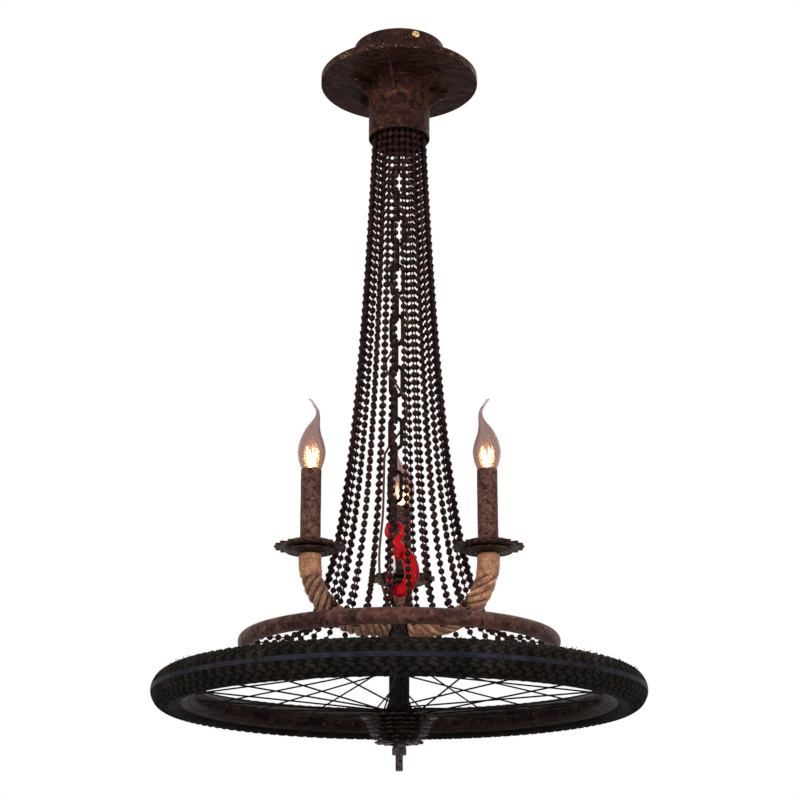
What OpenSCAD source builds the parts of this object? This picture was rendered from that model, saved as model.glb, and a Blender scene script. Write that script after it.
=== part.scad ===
// Bicycle wheel pendant light, in millimetres. The origin is on the ceiling plane, on the axis, with +Z up.
// A canopy carries a ring on bead-chain strands and, on a chain and hook, three candle arms and a wheel.

/* [Canopy] */
// Outer diameter of the ceiling cup
cup_d = 122; // [115:1:135]
// Height of the ceiling cup
cup_h = 44; // [38:1:55]
// Thickness of the cup's sheet
cup_wall = 1.5; // [1:0.1:2.5]
// Outer diameter of the flange pan
flange_d = 212; // [190:1:240]
// Height of the flange pan's rim
flange_h = 10; // [8:0.5:14]
// Thickness of the flange pan
flange_wall = 2.5; // [2:0.1:4]
// Outer diameter of the neck tube
neck_d = 82; // [80:0.5:90]
// Length of the neck tube below the flange pan
neck_h = 81; // [75:1:95]
// Wall of the neck tube
neck_wall = 2; // [1.5:0.1:3]

/* [Gussets] */
// Ribs between the flange pan and the neck
gusset_count = 6; // [3:1:8]
// Reach of a rib along the flange pan
gusset_reach = 30; // [20:1:45]
// Drop of a rib down the neck
gusset_drop = 25; // [15:1:40]
// Thickness of a rib
gusset_t = 3; // [2:0.5:5]

/* [Ceiling crossbar] */
// Width of the bar
bar_w = 22; // [18:1:30]
// Thickness of the bar
bar_t = 2.5; // [2:0.5:4]
// Distance between the two ceiling screw holes
bar_hole_spacing = 70; // [60:1:85]
// Diameter of a ceiling screw hole
bar_hole_d = 5.5; // [4:0.5:6.5]
// Distance of the side screws below the ceiling
side_screw_drop = 8; // [7:0.5:12]
// Thread diameter of a side screw
side_screw_d = 4; // [3:0.5:6]
// Head diameter of a side screw
side_screw_head_d = 10; // [8:0.5:12]

/* [Strands] */
// Strands between one candle arm and the next
strands_per_side = 8; // [4:1:8]
// Angle left free for each candle arm
arm_gap_angle = 25; // [25:0.5:26]
// Diameter of a bead
bead_d = 7.5; // [5:0.5:7.5]
// Nominal distance from bead to bead
bead_pitch = 10.5; // [10:0.1:12]
// Diameter of the wire between beads
bead_wire_d = 1.8; // [1.2:0.1:2.2]
// How wide the strands' curve is at its foot: the catenary's own length
catenary_a = 30; // [28:0.5:32]
// Radius at which a strand runs level
foot_r = 148.6; // [146:0.5:152]
// Thickness of the plate that holds the strands
strand_plate_t = 2; // [1.5:0.1:2.3]

/* [Ring] */
// Radius of the ring to the middle of its tube
ring_r = 188.5; // [185:0.5:200]
// Diameter of the ring's tube
ring_tube_d = 19.5; // [18:0.5:22]
// Wall of the ring's tube
ring_wall = 1.5; // [1:0.1:2]
// Drop of the ring below the ceiling
ring_drop = 818; // [815:1:822]

/* [Chain and hook] */
// Links in the chain
chain_links = 16; // [14:2:16]
// Inner length of a link
chain_pitch = 35; // [33:0.5:35]
// Wire diameter of a link
chain_wire = 5; // [4:0.5:5.5]
// Inner width of a link
chain_gap = 10; // [8:0.5:11]
// How far the hook's eye hangs to the side of the axis
hook_side = 5.6; // [0:0.2:6]
// Ring radius of the hanger bolt's eye, to the middle of its wire
hanger_eye_r = 11; // [10:0.5:13]
// Wire diameter of the hanger bolt's eye
hanger_wire = 8; // [6:0.5:9]
// Radius of the hook's eye, to the middle of its wire
hook_eye_r = 9.5; // [9:0.1:10.5]
// Wire diameter of the hook's eye
hook_wire = 7; // [6:0.2:7.4]
// Diameter of the latch's pin
latch_pin_d = 3; // [2.5:0.25:4]
// Sheet thickness of the latch
latch_t = 1.5; // [1:0.1:2]

/* [Supply cable] */
// Diameter of the cable
cable_d = 3.2; // [2.6:0.2:4]
// Radius of the cable's windings round the chain
cable_wind_r = 14; // [13.5:0.5:16]
// Length of chain that one winding takes
cable_wind_pitch = 125; // [115:1:135]

/* [Centre post and arms] */
// Diameter of the centre post
post_d = 38; // [36:1:44]
// Height of the centre post
post_h = 36; // [34:1:40]
// Radius of the candle circle
arm_r = 125; // [123:0.5:130]
// Bend radius of an arm
arm_bend = 73; // [68:0.5:75]
// Outer diameter of an arm tube
arm_tube_d = 12; // [11:0.5:13]
// Wall of an arm tube
arm_tube_wall = 0.9; // [0.8:0.1:1.2]
// Diameter of the rope round an arm
rope_d = 26.4; // [24:0.4:28]
// Outer diameter of the whipping round a rope's upper end
whipping_d = 28.4; // [27:0.2:30]
// Length of the whipping
whipping_h = 27; // [20:1:32]

/* [Drip pans] */
// Teeth of a pan's sprocket
pan_teeth = 20; // [16:1:20]
// Diameter of the ring on a pan
pan_ring_d = 53; // [46:1:60]
// Height of the ring on a pan
pan_ring_h = 5; // [4:0.5:8]
// Thickness of the pan's sprocket
pan_sprocket_t = 3; // [2:0.5:4]
// Diameter of the disc under a pan
pan_disc_d = 60; // [50:1:66]
// Thickness of the disc under a pan
pan_disc_t = 2.2; // [1.5:0.1:3]

/* [Candles] */
// Outer diameter of a candle sleeve
sleeve_d = 25.6; // [25:0.1:28]
// Length of a candle sleeve
sleeve_h = 91; // [85:1:110]
// Wall of a candle sleeve
sleeve_wall = 1; // [0.8:0.1:1.4]
// Outer diameter of a lampholder
holder_d = 20; // [18:0.5:22]
// Outer diameter of the threaded pipe through a pan
pipe_d = 10; // [9:0.1:10.1]
// Largest diameter of a bulb
bulb_d = 35; // [33:0.5:37]
// Diameter of a bulb's screw cap
bulb_cap_d = 13.5; // [13:0.1:14]
// Wall of a bulb's glass
bulb_wall = 0.9; // [0.7:0.1:1.2]

/* [Wheel] */
// Drop of the wheel's middle plane below the arms
wheel_below = 80; // [79:0.5:82]
// Outer diameter of the tyre
tyre_d = 603; // [598:1:610]
// Section width of the tyre
tyre_w = 44; // [42:0.5:46]
// Thickness of the tyre's casing
tyre_wall = 3; // [2.5:0.1:3.2]
// Wall of the inner tube
tube_wall = 1.2; // [0.8:0.1:2]
// Depth from the tyre's tread to the edge of the rim's flanges
rim_below_tyre = 39.5; // [39:0.5:40]
// Depth of the rim from its flanges' edge to its inner face
rim_depth = 25; // [23:1:28]
// Width of the rim
rim_w = 28; // [27:0.5:30]
// Wall of the rim
rim_wall = 2; // [1.5:0.1:2.2]
// Spokes to each hub flange
spokes_per_flange = 18; // [12:2:18]
// Diameter of a spoke
spoke_d = 2; // [1.8:0.1:2.2]
// Diameter of a spoke nipple
nipple_d = 4.2; // [3.8:0.1:4.4]

/* [Hub and freewheel] */
// Diameter of the axle
axle_d = 9.5; // [9:0.1:10]
// Length of axle that shows below its nut
axle_tail = 19; // [12:1:24]
// Diameter of the hub's barrel
barrel_d = 25; // [22:0.5:27]
// Diameter of the hub's flanges
hub_flange_d = 47; // [45:0.5:50]
// Diameter of the circle of spoke holes
spoke_circle_d = 41; // [40:0.5:42]
// Height of the upper flange above the wheel's middle plane
flange_above = 32; // [28:1:34]
// Depth of the lower flange below the wheel's middle plane
flange_below = 20.5; // [19:0.5:21]
// Balls in each hub bearing
ball_count = 9; // [6:1:10]
// Diameter of a bearing ball
ball_d = 4.8; // [4:0.1:4.9]
// Teeth of the freewheel's cogs, from the top down
cog_teeth = [22, 19, 18, 17, 16, 14, 13];
// Thickness of a cog
cog_t = 2; // [1.6:0.1:2.4]
// Distance from cog to cog
cog_pitch = 5; // [4.8:0.1:5.4]
// Across the flats of the axle nuts
nut_af = 15; // [14:0.5:17]

/* [Hidden] */

// Clearance between pieces that lie against each other
gap = 0.2;
// Clearance of a shaft in a bore
slip = 0.05;
// Overreach of a cutting body
over = 1;
// Half the pitch of a bicycle chain's links
half_pitch = 12.7 / 2;

// Canopy levels, and the pieces in it
cup_r = cup_d / 2;
pan_top = -cup_h;
pan_under = pan_top - flange_h;
neck_r = neck_d / 2;
neck_in_r = neck_r - neck_wall;
neck_mouth = pan_under - neck_h;
side_screw_turn = 291;
tab_drop = side_screw_drop + side_screw_d / 2 + 3;
bar_end = sqrt(pow(cup_r - cup_wall, 2) - pow(bar_w / 2, 2)) - gap;
cup_bolt_r = 40;
cup_bolt_d = 5;
cup_floor_in_r = 30;
cup_bolt_turns = [45, 135, 225, 315];
gusset_turn = 20;
hanger_d = 10;
hanger_nut_h = 6;

// The strand plate, and a strand's curve: a catenary from the plate to its foot, then level into the ring
strand_plate_top = pan_under - 18;
ring_tube_r = ring_tube_d / 2;
ring_in_r = ring_tube_r - ring_wall;
bead_r = bead_d / 2;
strand_end_r = ring_r - ring_in_r + bead_r + gap;
lead = strand_end_r - foot_r;
top_bead_z = strand_plate_top + bead_r + gap;
function cosh(u) = (exp(u) + exp(-u)) / 2;
function asinh(x) = ln(x + sqrt(x * x + 1));
// Inside the neck a strand runs straight up, so that the beads of neighbours stay apart
function rise_s(rise) = catenary_a * sqrt(pow(1 + rise / catenary_a, 2) - 1);
mouth_z = neck_mouth - 5;
mouth_s = rise_s(ring_drop + mouth_z);
top_s = mouth_s + top_bead_z - mouth_z;
bead_steps = round((top_s + lead) / bead_pitch);
true_pitch = (top_s + lead) / bead_steps;
function strand_s(i) = -lead + i * true_pitch;
function curve_point(s) = [foot_r - catenary_a * asinh(s / catenary_a),
    -ring_drop + catenary_a * (cosh(asinh(s / catenary_a)) - 1)];
function strand_point(s) = s < 0 ? [foot_r - s, -ring_drop]
    : s > mouth_s ? curve_point(mouth_s) + [0, s - mouth_s] : curve_point(s);
function strand_slope(s) = s < 0 ? 0 : s > mouth_s ? 90 : atan(s / catenary_a);
// Each straight run of beads turns by less than this from the last
run_bend = 6;
run_most = 14;
function run_length(i, n = 1) = i + n > bead_steps || n >= run_most
    || strand_slope(strand_s(i + n)) - strand_slope(strand_s(i)) > run_bend ? n : run_length(i, n + 1);
function runs(i = 0) = i > bead_steps ? [] : concat([[i, run_length(i)]], runs(i + run_length(i)));
plate_hole_r = strand_point(top_s)[0];
strand_hole_d = bead_wire_d + 1.2;

// Arms stand at these turns; strands fill the sides between them
arm_turns = [210, 330, 88.5];
function side_span(side) = (arm_turns[(side + 1) % 3] - arm_turns[side] + 360) % 360 - arm_gap_angle;
function strand_turn(side, k) = arm_turns[side] + arm_gap_angle / 2 + k * side_span(side) / (strands_per_side - 1);

// Chain and hook levels
wire_gap = 0.3;
hanger_eye_z = strand_plate_top - strand_plate_t - hanger_nut_h - 23;
first_wire_z = hanger_eye_z - hanger_eye_r + (hanger_wire + chain_wire) / 2 + wire_gap;
link_half = (chain_pitch + chain_wire + wire_gap) / 2;
first_link_z = first_wire_z - link_half;
last_wire_z = first_link_z - (chain_links - 1) * chain_pitch - link_half;
hook_eye_z = last_wire_z + (chain_wire + hook_wire) / 2 + wire_gap - hook_eye_r;
// The chain leans a little, to the hook's eye
function chain_x(z) = -hook_side * (z - hanger_eye_z) / (hook_eye_z - hanger_eye_z);
// The hook's middle line below its eye: [x, z from the eye, half width]
hook_line = [
    [-hook_side, 1.5 - hook_eye_r, 4.2], [-4, -15, 6.2], [1.5, -22, 7.2], [8, -30, 8], [13, -38.5, 8.9],
    [15.6, -48, 9.4], [15.3, -58, 9.2], [12, -66.5, 8.7], [7.2, -72.5, 8.6], [1, -75.4, 8.6], [-6, -74.2, 7.2],
    [-10.6, -68.6, 5.2], [-12.3, -62, 4], [-12.6, -56, 3.3], [-12.5, -53.4, 2.2],
];
hook_flat = 0.78;
bowl_z = hook_eye_z - 66.8;
lug_r = 4;
lug_half = 4.2;
latch_x = -1.5;
latch_z = hook_eye_z - 29;
latch_ear_y = 9.5;
latch_ear_w = 9;
// The latch's side and its web, in the latch's own plane with the pin at the origin
latch_side = [[-4.5, 0], [4.5, 0], [-1, -23], [-10.5, -21.5], [-8, -8]];
latch_web = [[-6.4, -5], [-4.9, -5], [-6.1, -26.5], [-7.6, -26.5]];

// Centre post, and the eye bolt whose ring hangs in the hook
eye_wire = 10;
eye_r = 17.5;
eye_z = bowl_z + wire_gap + eye_wire / 2 - eye_r;
post_top = eye_z - 25.3;
post_bottom = post_top - post_h;
post_r = post_d / 2;
arm_z = post_top - 20;
eye_collar_r = 12.5;
eye_shank = 16;

// Arms and candles, in each arm's own plane
bend_r = arm_r - arm_bend;
bend_z = arm_z + arm_bend;
arm_tube_r = arm_tube_d / 2;
arm_bore_r = arm_tube_r - arm_tube_wall;
arm_end_r = 8.2;
pan_top_z = arm_z + 96.5;
sprocket_top = pan_top_z - pan_ring_h - gap;
disc_top = sprocket_top - pan_sprocket_t - gap;
spacer_h = 2;
boss_h = 2;
disc_under = disc_top - spacer_h - pan_disc_t;
boss_under = disc_under - boss_h;
whipping_top = boss_under - gap;
tube_top = boss_under - gap;
// The whipping goes on past the start of the bend, by this angle
whipping_turn = (whipping_h - whipping_top + bend_z) / arm_bend * 180 / PI;
pipe_r = pipe_d / 2;
pipe_top = pan_top_z + 16;
pipe_low = tube_top - 8;
holder_low = pan_top_z + 9;
holder_top = pan_top_z + sleeve_h - 16;
sleeve_top = pan_top_z + gap + sleeve_h;
cap_low = sleeve_top - 36;
cap_top = sleeve_top - 11;

// The bulb's outline from the sleeve's top up: [height, share of the largest radius]
bulb_line = [
    [-10.8, 0.42], [-6, 0.5], [-1, 0.61], [0.8, 0.685], [3, 0.763], [11.5, 0.92], [22.3, 1], [32.9, 0.9], [39, 0.795],
];
// Its drawn-out tip: [height, sideways, radius]
tip_line = [
    [38, 0, 14.2], [41, 0.1, 13.1], [47.4, 0.5, 10.7], [54.5, 2, 8.2], [61.6, 4.7, 5.3], [68.8, 6.9, 3.1],
    [76, 6.3, 2.2], [83.2, 2.4, 2], [90, -2.2, 1.5],
];

// Wheel
wheel_z = arm_z - wheel_below;
tyre_mid_r = (tyre_d - tyre_w) / 2;
rim_r = tyre_d / 2 - rim_below_tyre;
rim_in_r = rim_r - rim_depth;
bead_half = rim_w / 2 - rim_wall - gap;
bead_h = 7.6;
bead_thick = 3;
axle_r = axle_d / 2;
axle_bore = axle_r + slip;
axle_chamfer = 0.8;
axle_groove = 1.2;
axle_top = post_bottom + 14;
upper_flange_z = wheel_z + flange_above;
lower_flange_z = wheel_z - flange_below;
hub_flange_t = 3;
hub_flange_r = hub_flange_d / 2;
spoke_circle_r = spoke_circle_d / 2;
spoke_r = spoke_d / 2;
spoke_step = 360 / spokes_per_flange;
spoke_off = hub_flange_t / 2 + spoke_r + gap;
spoke_run = 7;
rim_spoke_off = 2.5;
crosses = 3;
nipple_h = 12;
hub_top = upper_flange_z + 10;
hub_low = lower_flange_z - 13.5;
cup_r_in = 11;
cup_depth = 7;
hub_bore_r = 6;
ball_r = ball_d / 2;
ball_ring_r = cup_r_in - ball_r - 0.1;
cone_r = ball_ring_r - ball_r - 0.1;
cone_shoulder_r = 9;
cone_nose = 4.6;
cone_h = 12;
barrel_r = barrel_d / 2;
flange_root_r = barrel_r + 4.5;
boss_r = cup_r_in + 3;
thread_relief = 1.2;
upper_fillet = 3;
lower_fillet = 11;

// Freewheel, screwed to the hub's lower end
thread_r = 15;
core_r = 20.2;
core_top = lower_flange_z - 4.4;
core_low = hub_low;
body_r = 24;
body_small_r = 19.5;
body_bore_r = 12;
first_cog_z = lower_flange_z - 6.5;
cog_count = len(cog_teeth);
big_cogs = 5;
body_step_z = first_cog_z - (big_cogs - 1) * cog_pitch - cog_t - 1;
body_low = first_cog_z - (cog_count - 1) * cog_pitch - cog_t - 1;
nut_h = 9;
nut_top = body_low - 4;
axle_low = nut_top - nut_h - axle_tail;
nut_r = nut_af / 2 / cos(30);

fine = 96;
round_fn = 48;
small_fn = 24;

rust = [0.36, 0.25, 0.21];
dark = [0.20, 0.16, 0.15];
brass = [0.80, 0.66, 0.38];
tan_rope = [0.78, 0.60, 0.42];
red = [0.80, 0.05, 0.09];

function unit(v) = v / norm(v);

// A smooth curve through the given points, n steps to each stretch
function smooth(p, n) = [
    for (i = [0:len(p) - 2], j = [0:n - 1])
        let (a = p[max(i - 1, 0)], b = p[i], c = p[i + 1], d = p[min(i + 2, len(p) - 1)], t = j / n)
            0.5 * (2 * b + (c - a) * t + (2 * a - 5 * b + 4 * c - d) * t * t + (3 * b - a - 3 * c + d) * t * t * t),
    p[len(p) - 1],
];

// A ring's own first axis, carried along the line without twist
function directions(p) = [for (i = [0:len(p) - 1]) unit(p[min(i + 1, len(p) - 1)] - p[max(i - 1, 0)])];
function square_to(v, t) = unit(v - (v * t) * t);
function carried(t, first, i) = i == 0 ? square_to(first, t[0]) : square_to(carried(t, first, i - 1), t[i]);

// A solid swept along a line of points, with its own half width and half thickness at each
module sweep(p, w, h, sides, first) {
    t = directions(p);
    last = len(p) - 1;
    points = [
        for (i = [0:last])
            let (n = carried(t, first, i), b = cross(t[i], n))
                for (k = [0:sides - 1]) p[i] + w[i] * cos(360 * k / sides) * n + h[i] * sin(360 * k / sides) * b,
    ];
    walls = [
        for (i = [0:last - 1], k = [0:sides - 1])
            let (a = i * sides + k, b = i * sides + (k + 1) % sides)
                each [[a, a + sides, b + sides], [a, b + sides, b]],
    ];
    ends = [
        for (k = [1:sides - 2]) [0, k, k + 1],
        for (k = [1:sides - 2]) [last * sides, last * sides + k + 1, last * sides + k],
    ];
    polyhedron(points, concat(walls, ends));
}

// A solid through level rings: [height, sideways, radius]
module level_rings(p, sides) {
    last = len(p) - 1;
    points = [for (q = p, k = [0:sides - 1]) [q[1] + q[2] * cos(360 * k / sides), q[2] * sin(360 * k / sides), q[0]]];
    walls = [
        for (i = [0:last - 1], k = [0:sides - 1])
            let (a = i * sides + k, b = i * sides + (k + 1) % sides)
                each [[a, a + sides, b + sides], [a, b + sides, b]],
    ];
    ends = [
        for (k = [1:sides - 2]) [0, k, k + 1],
        for (k = [1:sides - 2]) [last * sides, last * sides + k + 1, last * sides + k],
    ];
    polyhedron(points, concat(walls, ends));
}

// A flat-ended tube
module pipe(outer, inner, h) {
    difference() {
        cylinder(r = outer, h = h, $fn = round_fn);
        translate([0, 0, -over]) cylinder(r = inner, h = h + 2 * over, $fn = round_fn);
    }
}

// A solid of revolution between a low and a high level
module disc(r, low, high) {
    translate([0, 0, low]) cylinder(r = r, h = high - low, $fn = fine);
}

// A hexagon nut on the Z axis
module hex_nut(across, bore, low, h) {
    translate([0, 0, low]) difference() {
        cylinder(r = across / 2 / cos(30), h = h, $fn = 6);
        translate([0, 0, -over]) cylinder(r = bore, h = h + 2 * over, $fn = round_fn);
    }
}

// A straight bar from one point to another
module bar_between(a, b, r) {
    d = b - a;
    translate(a) rotate([0, acos(d[2] / norm(d)), atan2(d[1], d[0])]) cylinder(r = r, h = norm(d), $fn = small_fn);
}

// A chain wheel's outline, with its tips cut flat
module sprocket_outline(teeth) {
    pitch_r = half_pitch / sin(180 / teeth);
    step = 360 / teeth;
    polygon([
        for (k = [0:teeth - 1])
            for (c = [[-0.36, pitch_r - 4], [-0.14, pitch_r + 3.2], [0.14, pitch_r + 3.2], [0.36, pitch_r - 4]])
                c[1] * [cos((k + c[0]) * step), sin((k + c[0]) * step)],
    ]);
}

// Canopy

module ceiling_crossbar() {
    color("silver") rotate(side_screw_turn) difference() {
        union() {
            translate([-bar_end, -bar_w / 2, -bar_t]) cube([2 * bar_end, bar_w, bar_t]);
            for (side = [-1, 1])
                translate([side > 0 ? bar_end - bar_t : -bar_end, -bar_w / 2, -tab_drop])
                    cube([bar_t, bar_w, tab_drop - bar_t / 2]);
        }
        for (side = [-1, 1])
            translate([side * bar_hole_spacing / 2, 0, -bar_t - over])
                cylinder(d = bar_hole_d, h = bar_t + 2 * over, $fn = round_fn);
        translate([-bar_end - over, 0, -side_screw_drop]) rotate([0, 90, 0])
            cylinder(r = side_screw_d / 2 + slip, h = 2 * bar_end + 2 * over, $fn = round_fn);
    }
}

module side_screws() {
    head_h = 3;
    color(brass) for (turn = [0, 180]) rotate(side_screw_turn + turn) translate([cup_r + gap, 0, -side_screw_drop])
        rotate([0, 90, 0]) difference() {
            union() {
                translate([0, 0, -12]) cylinder(d = side_screw_d, h = 12.5, $fn = round_fn);
                rotate_extrude($fn = round_fn) polygon([
                    [0, 0], [side_screw_head_d / 2, 0], [side_screw_head_d / 2, head_h * 0.5],
                    [side_screw_head_d * 0.42, head_h * 0.85], [side_screw_head_d * 0.25, head_h], [0, head_h],
                ]);
            }
            translate([-side_screw_head_d, -0.6, head_h - 1.2]) cube([2 * side_screw_head_d, 1.2, 2]);
        }
}

module canopy_cup() {
    color(rust) difference() {
        disc(cup_r, pan_top + gap, -gap);
        disc(cup_r - cup_wall, pan_top + gap + cup_wall, over);
        disc(cup_floor_in_r, pan_top - over, 0);
        for (turn = cup_bolt_turns) rotate(turn) translate([cup_bolt_r, 0, pan_top - over])
            cylinder(r = cup_bolt_d / 2 + gap, h = cup_wall + 3 * over, $fn = round_fn);
        rotate(side_screw_turn) translate([-cup_r - over, 0, -side_screw_drop]) rotate([0, 90, 0])
            cylinder(r = side_screw_d / 2 + gap, h = cup_d + 2 * over, $fn = round_fn);
    }
}

module flange_pan() {
    // A low rim round the edge, open above, on a floor that stands up under the cup
    cup_seat_r = cup_r + 4;
    color(rust) difference() {
        disc(flange_d / 2, pan_under, pan_top);
        difference() {
            disc(flange_d / 2 - flange_wall, pan_under + flange_wall, pan_top + over);
            disc(cup_seat_r, pan_under, pan_top);
        }
        disc(cup_seat_r - flange_wall, pan_under - over, pan_top - flange_wall);
        disc(hanger_d / 2 + gap, pan_under, pan_top + over);
        rotate(45) translate([18, 0, pan_under]) cylinder(r = 5, h = flange_h + over, $fn = round_fn);
        for (turn = cup_bolt_turns) rotate(turn) translate([cup_bolt_r, 0, pan_under])
            cylinder(r = cup_bolt_d / 2 + gap, h = flange_h + over, $fn = round_fn);
    }
    color(rust) difference() {
        disc(cup_seat_r - flange_wall, pan_under, pan_under + flange_wall);
        disc(neck_in_r, pan_under - over, pan_top);
    }
}

module neck_tube() {
    color(rust) translate([0, 0, neck_mouth]) pipe(neck_r, neck_in_r, neck_h - gap);
}

module gussets() {
    color(rust) for (k = [0:gusset_count - 1]) rotate(gusset_turn + k * 360 / gusset_count)
        translate([neck_r + gap, gusset_t / 2, pan_under - gap]) rotate([90, 0, 0]) linear_extrude(gusset_t)
            polygon([[0, 0], [gusset_reach, 0], [gusset_reach, -2], [2, -gusset_drop], [0, -gusset_drop]]);
}

module canopy_fasteners() {
    floor_top = pan_top + gap + cup_wall;
    color("silver") {
        for (turn = cup_bolt_turns) rotate(turn) translate([cup_bolt_r, 0, 0]) {
            disc(cup_bolt_d / 2, pan_top - 7, floor_top + gap);
            disc(cup_bolt_d * 0.9, floor_top + gap, floor_top + gap + 3);
            hex_nut(8, cup_bolt_d / 2 + slip, pan_top - flange_wall - gap - 3.5, 3.5);
        }
        hex_nut(16, hanger_d / 2 + slip, pan_top + gap, hanger_nut_h);
        hex_nut(16, hanger_d / 2 + slip, strand_plate_top - strand_plate_t - gap - hanger_nut_h, hanger_nut_h);
    }
}

module terminal_block() {
    block = [34, 17, 14];
    low = pan_top + gap + cup_wall + gap;
    color("white") translate([cup_floor_in_r + 3, -block[0] / 2, low]) difference() {
        cube([block[1], block[0], block[2]]);
        for (y = [0:2]) {
            translate([-over, 6 + y * 11, 5]) rotate([0, 90, 0])
                cylinder(d = 4, h = block[1] + 2 * over, $fn = small_fn);
            for (x = [4.5, block[1] - 4.5]) translate([x, 6 + y * 11, 6]) cylinder(d = 3.4, h = 10, $fn = small_fn);
        }
    }
}

module hanger_bolt() {
    shank_low = hanger_eye_z + hanger_eye_r;
    color("silver") {
        disc(hanger_d / 2, shank_low, pan_top + gap + hanger_nut_h + 3);
        translate([0, 0, hanger_eye_z]) rotate([90, 0, 90])
            rotate_extrude($fn = fine) translate([hanger_eye_r, 0]) circle(d = hanger_wire, $fn = round_fn);
    }
}

// Strands

module strand_plate() {
    color(dark) difference() {
        disc(neck_in_r - gap, strand_plate_top - strand_plate_t, strand_plate_top);
        disc(hanger_d / 2 + gap, strand_plate_top - 2 * strand_plate_t, over);
        rotate(45) translate([18, 0, strand_plate_top - 2 * strand_plate_t]) cylinder(r = 4, h = 10, $fn = round_fn);
        for (side = [0:2], k = [0:strands_per_side - 1])
            rotate(strand_turn(side, k)) translate([plate_hole_r, 0, strand_plate_top - 2 * strand_plate_t])
                cylinder(d = strand_hole_d, h = 10, $fn = small_fn);
    }
}

// A straight run of beads on their wire, its ends a little short so that the next run lies free of it
module bead_run(beads, length) {
    step = length / beads;
    wire_r = bead_wire_d / 2;
    slack = 0.2;
    belly = bead_d * 0.16;
    reach = bead_d * 0.42;
    rotate_extrude($fn = small_fn) polygon(concat(
        [[0, slack], [wire_r, slack]],
        [
            for (k = [0:beads - 1])
                let (c = (k + 0.5) * step)
                    each [[wire_r, c - reach], [bead_r, c - belly], [bead_r, c + belly], [wire_r, c + reach]],
        ],
        [[wire_r, length - slack], [0, length - slack]]
    ));
}

module strand() {
    for (run = runs()) {
        a = strand_point(strand_s(run[0] - 0.5));
        b = strand_point(strand_s(run[0] + run[1] - 0.5));
        translate([a[0], 0, a[1]]) rotate([0, atan2(b[0] - a[0], b[1] - a[1]), 0]) bead_run(run[1], norm(b - a));
    }
}

module strand_side(side) {
    color(rust) for (k = [0:strands_per_side - 1]) rotate(strand_turn(side, k)) strand();
}

module ring_tube() {
    color(rust) translate([0, 0, -ring_drop]) difference() {
        rotate_extrude($fn = fine) translate([ring_r, 0]) difference() {
            circle(r = ring_tube_r, $fn = round_fn);
            circle(r = ring_in_r, $fn = round_fn);
        }
        for (side = [0:2], k = [0:strands_per_side - 1])
            rotate(strand_turn(side, k)) translate([ring_r - ring_tube_r - 3, 0, 0]) rotate([0, 90, 0])
                cylinder(d = strand_hole_d, h = ring_wall + 6, $fn = small_fn);
    }
}

// Chain and hook

module chain_link() {
    end_r = (chain_gap + chain_wire) / 2;
    straight = link_half - end_r;
    for (end = [0, 180]) rotate([0, end, 0]) translate([0, 0, straight]) rotate([90, 0, 0])
        rotate_extrude(angle = 180, $fn = round_fn) translate([end_r, 0]) circle(d = chain_wire, $fn = small_fn);
    for (side = [-1, 1]) translate([side * end_r, 0, -straight])
        cylinder(d = chain_wire, h = 2 * straight, $fn = small_fn);
}

module suspension_chain() {
    color(dark) for (k = [0:chain_links - 1])
        translate([chain_x(first_link_z - k * chain_pitch), 0, first_link_z - k * chain_pitch])
            rotate(k % 2 == 0 ? 0 : 90) chain_link();
}

module hook_body() {
    line = smooth(hook_line, 3);
    color(red) translate([0, 0, hook_eye_z]) difference() {
        union() {
            translate([-hook_side, 0, 0]) rotate([90, 0, 0]) rotate_extrude($fn = fine)
                translate([hook_eye_r, 0]) circle(d = hook_wire, $fn = round_fn);
            sweep([for (p = line) [p[0], 0, p[1]]], [for (p = line) p[2]], [for (p = line) p[2] * hook_flat],
                14, [1, 0, 0]);
            translate([latch_x, 0, latch_z - hook_eye_z]) rotate([90, 0, 0])
                cylinder(r = lug_r, h = 2 * lug_half, center = true, $fn = round_fn);
        }
        translate([latch_x, 0, latch_z - hook_eye_z]) rotate([90, 0, 0])
            cylinder(r = latch_pin_d / 2 + slip, h = 60, center = true, $fn = round_fn);
    }
}

module latch_pin() {
    half = latch_ear_y + gap;
    color("silver") translate([latch_x, 0, latch_z]) rotate([90, 0, 0]) {
        cylinder(d = latch_pin_d, h = 2 * half + 2, center = true, $fn = round_fn);
        for (side = [-1, 1]) translate([0, 0, side * (half + 1)])
            cylinder(d = latch_pin_d + 2, h = 1, center = true, $fn = round_fn);
    }
}

module latch_spring() {
    // Three close turns on the pin, between the hook's side and the front ear
    turns = 3;
    steps = 14;
    wire = 0.7;
    coil_r = latch_pin_d / 2 + wire / 2 + 0.25;
    turn_pitch = wire + 0.1;
    far = -(latch_ear_y - latch_t - 0.3 - wire / 2);
    p = [
        for (i = [0:turns * steps])
            [coil_r * cos(360 * i / steps), far + turn_pitch * i / steps, coil_r * sin(360 * i / steps)],
    ];
    color("silver") translate([latch_x, 0, latch_z])
        sweep(p, [for (i = p) wire / 2], [for (i = p) wire / 2], 6, [1, 0, 0]);
}

module hook_latch() {
    color("silver") translate([latch_x, 0, latch_z]) {
        for (side = [-1, 1]) translate([0, side * (latch_ear_y - latch_t / 2), 0]) rotate([90, 0, 0]) difference() {
            union() {
                cylinder(d = latch_ear_w, h = latch_t, center = true, $fn = round_fn);
                translate([0, 0, -latch_t / 2]) linear_extrude(latch_t) polygon(latch_side);
            }
            cylinder(r = latch_pin_d / 2 + slip, h = 4 * latch_t, center = true, $fn = round_fn);
        }
        translate([0, latch_ear_y, 0]) rotate([90, 0, 0]) linear_extrude(2 * latch_ear_y) polygon(latch_web);
    }
}

module eye_bolt() {
    color(dark) {
        translate([0, 0, eye_z]) rotate([90, 0, 90]) rotate_extrude($fn = fine)
            translate([eye_r, 0]) circle(d = eye_wire, $fn = round_fn);
        disc(eye_collar_r, post_top + gap, post_top + gap + 6);
        disc(hanger_d / 2, post_top - eye_shank, post_top + 2);
    }
}

// Cable

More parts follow.
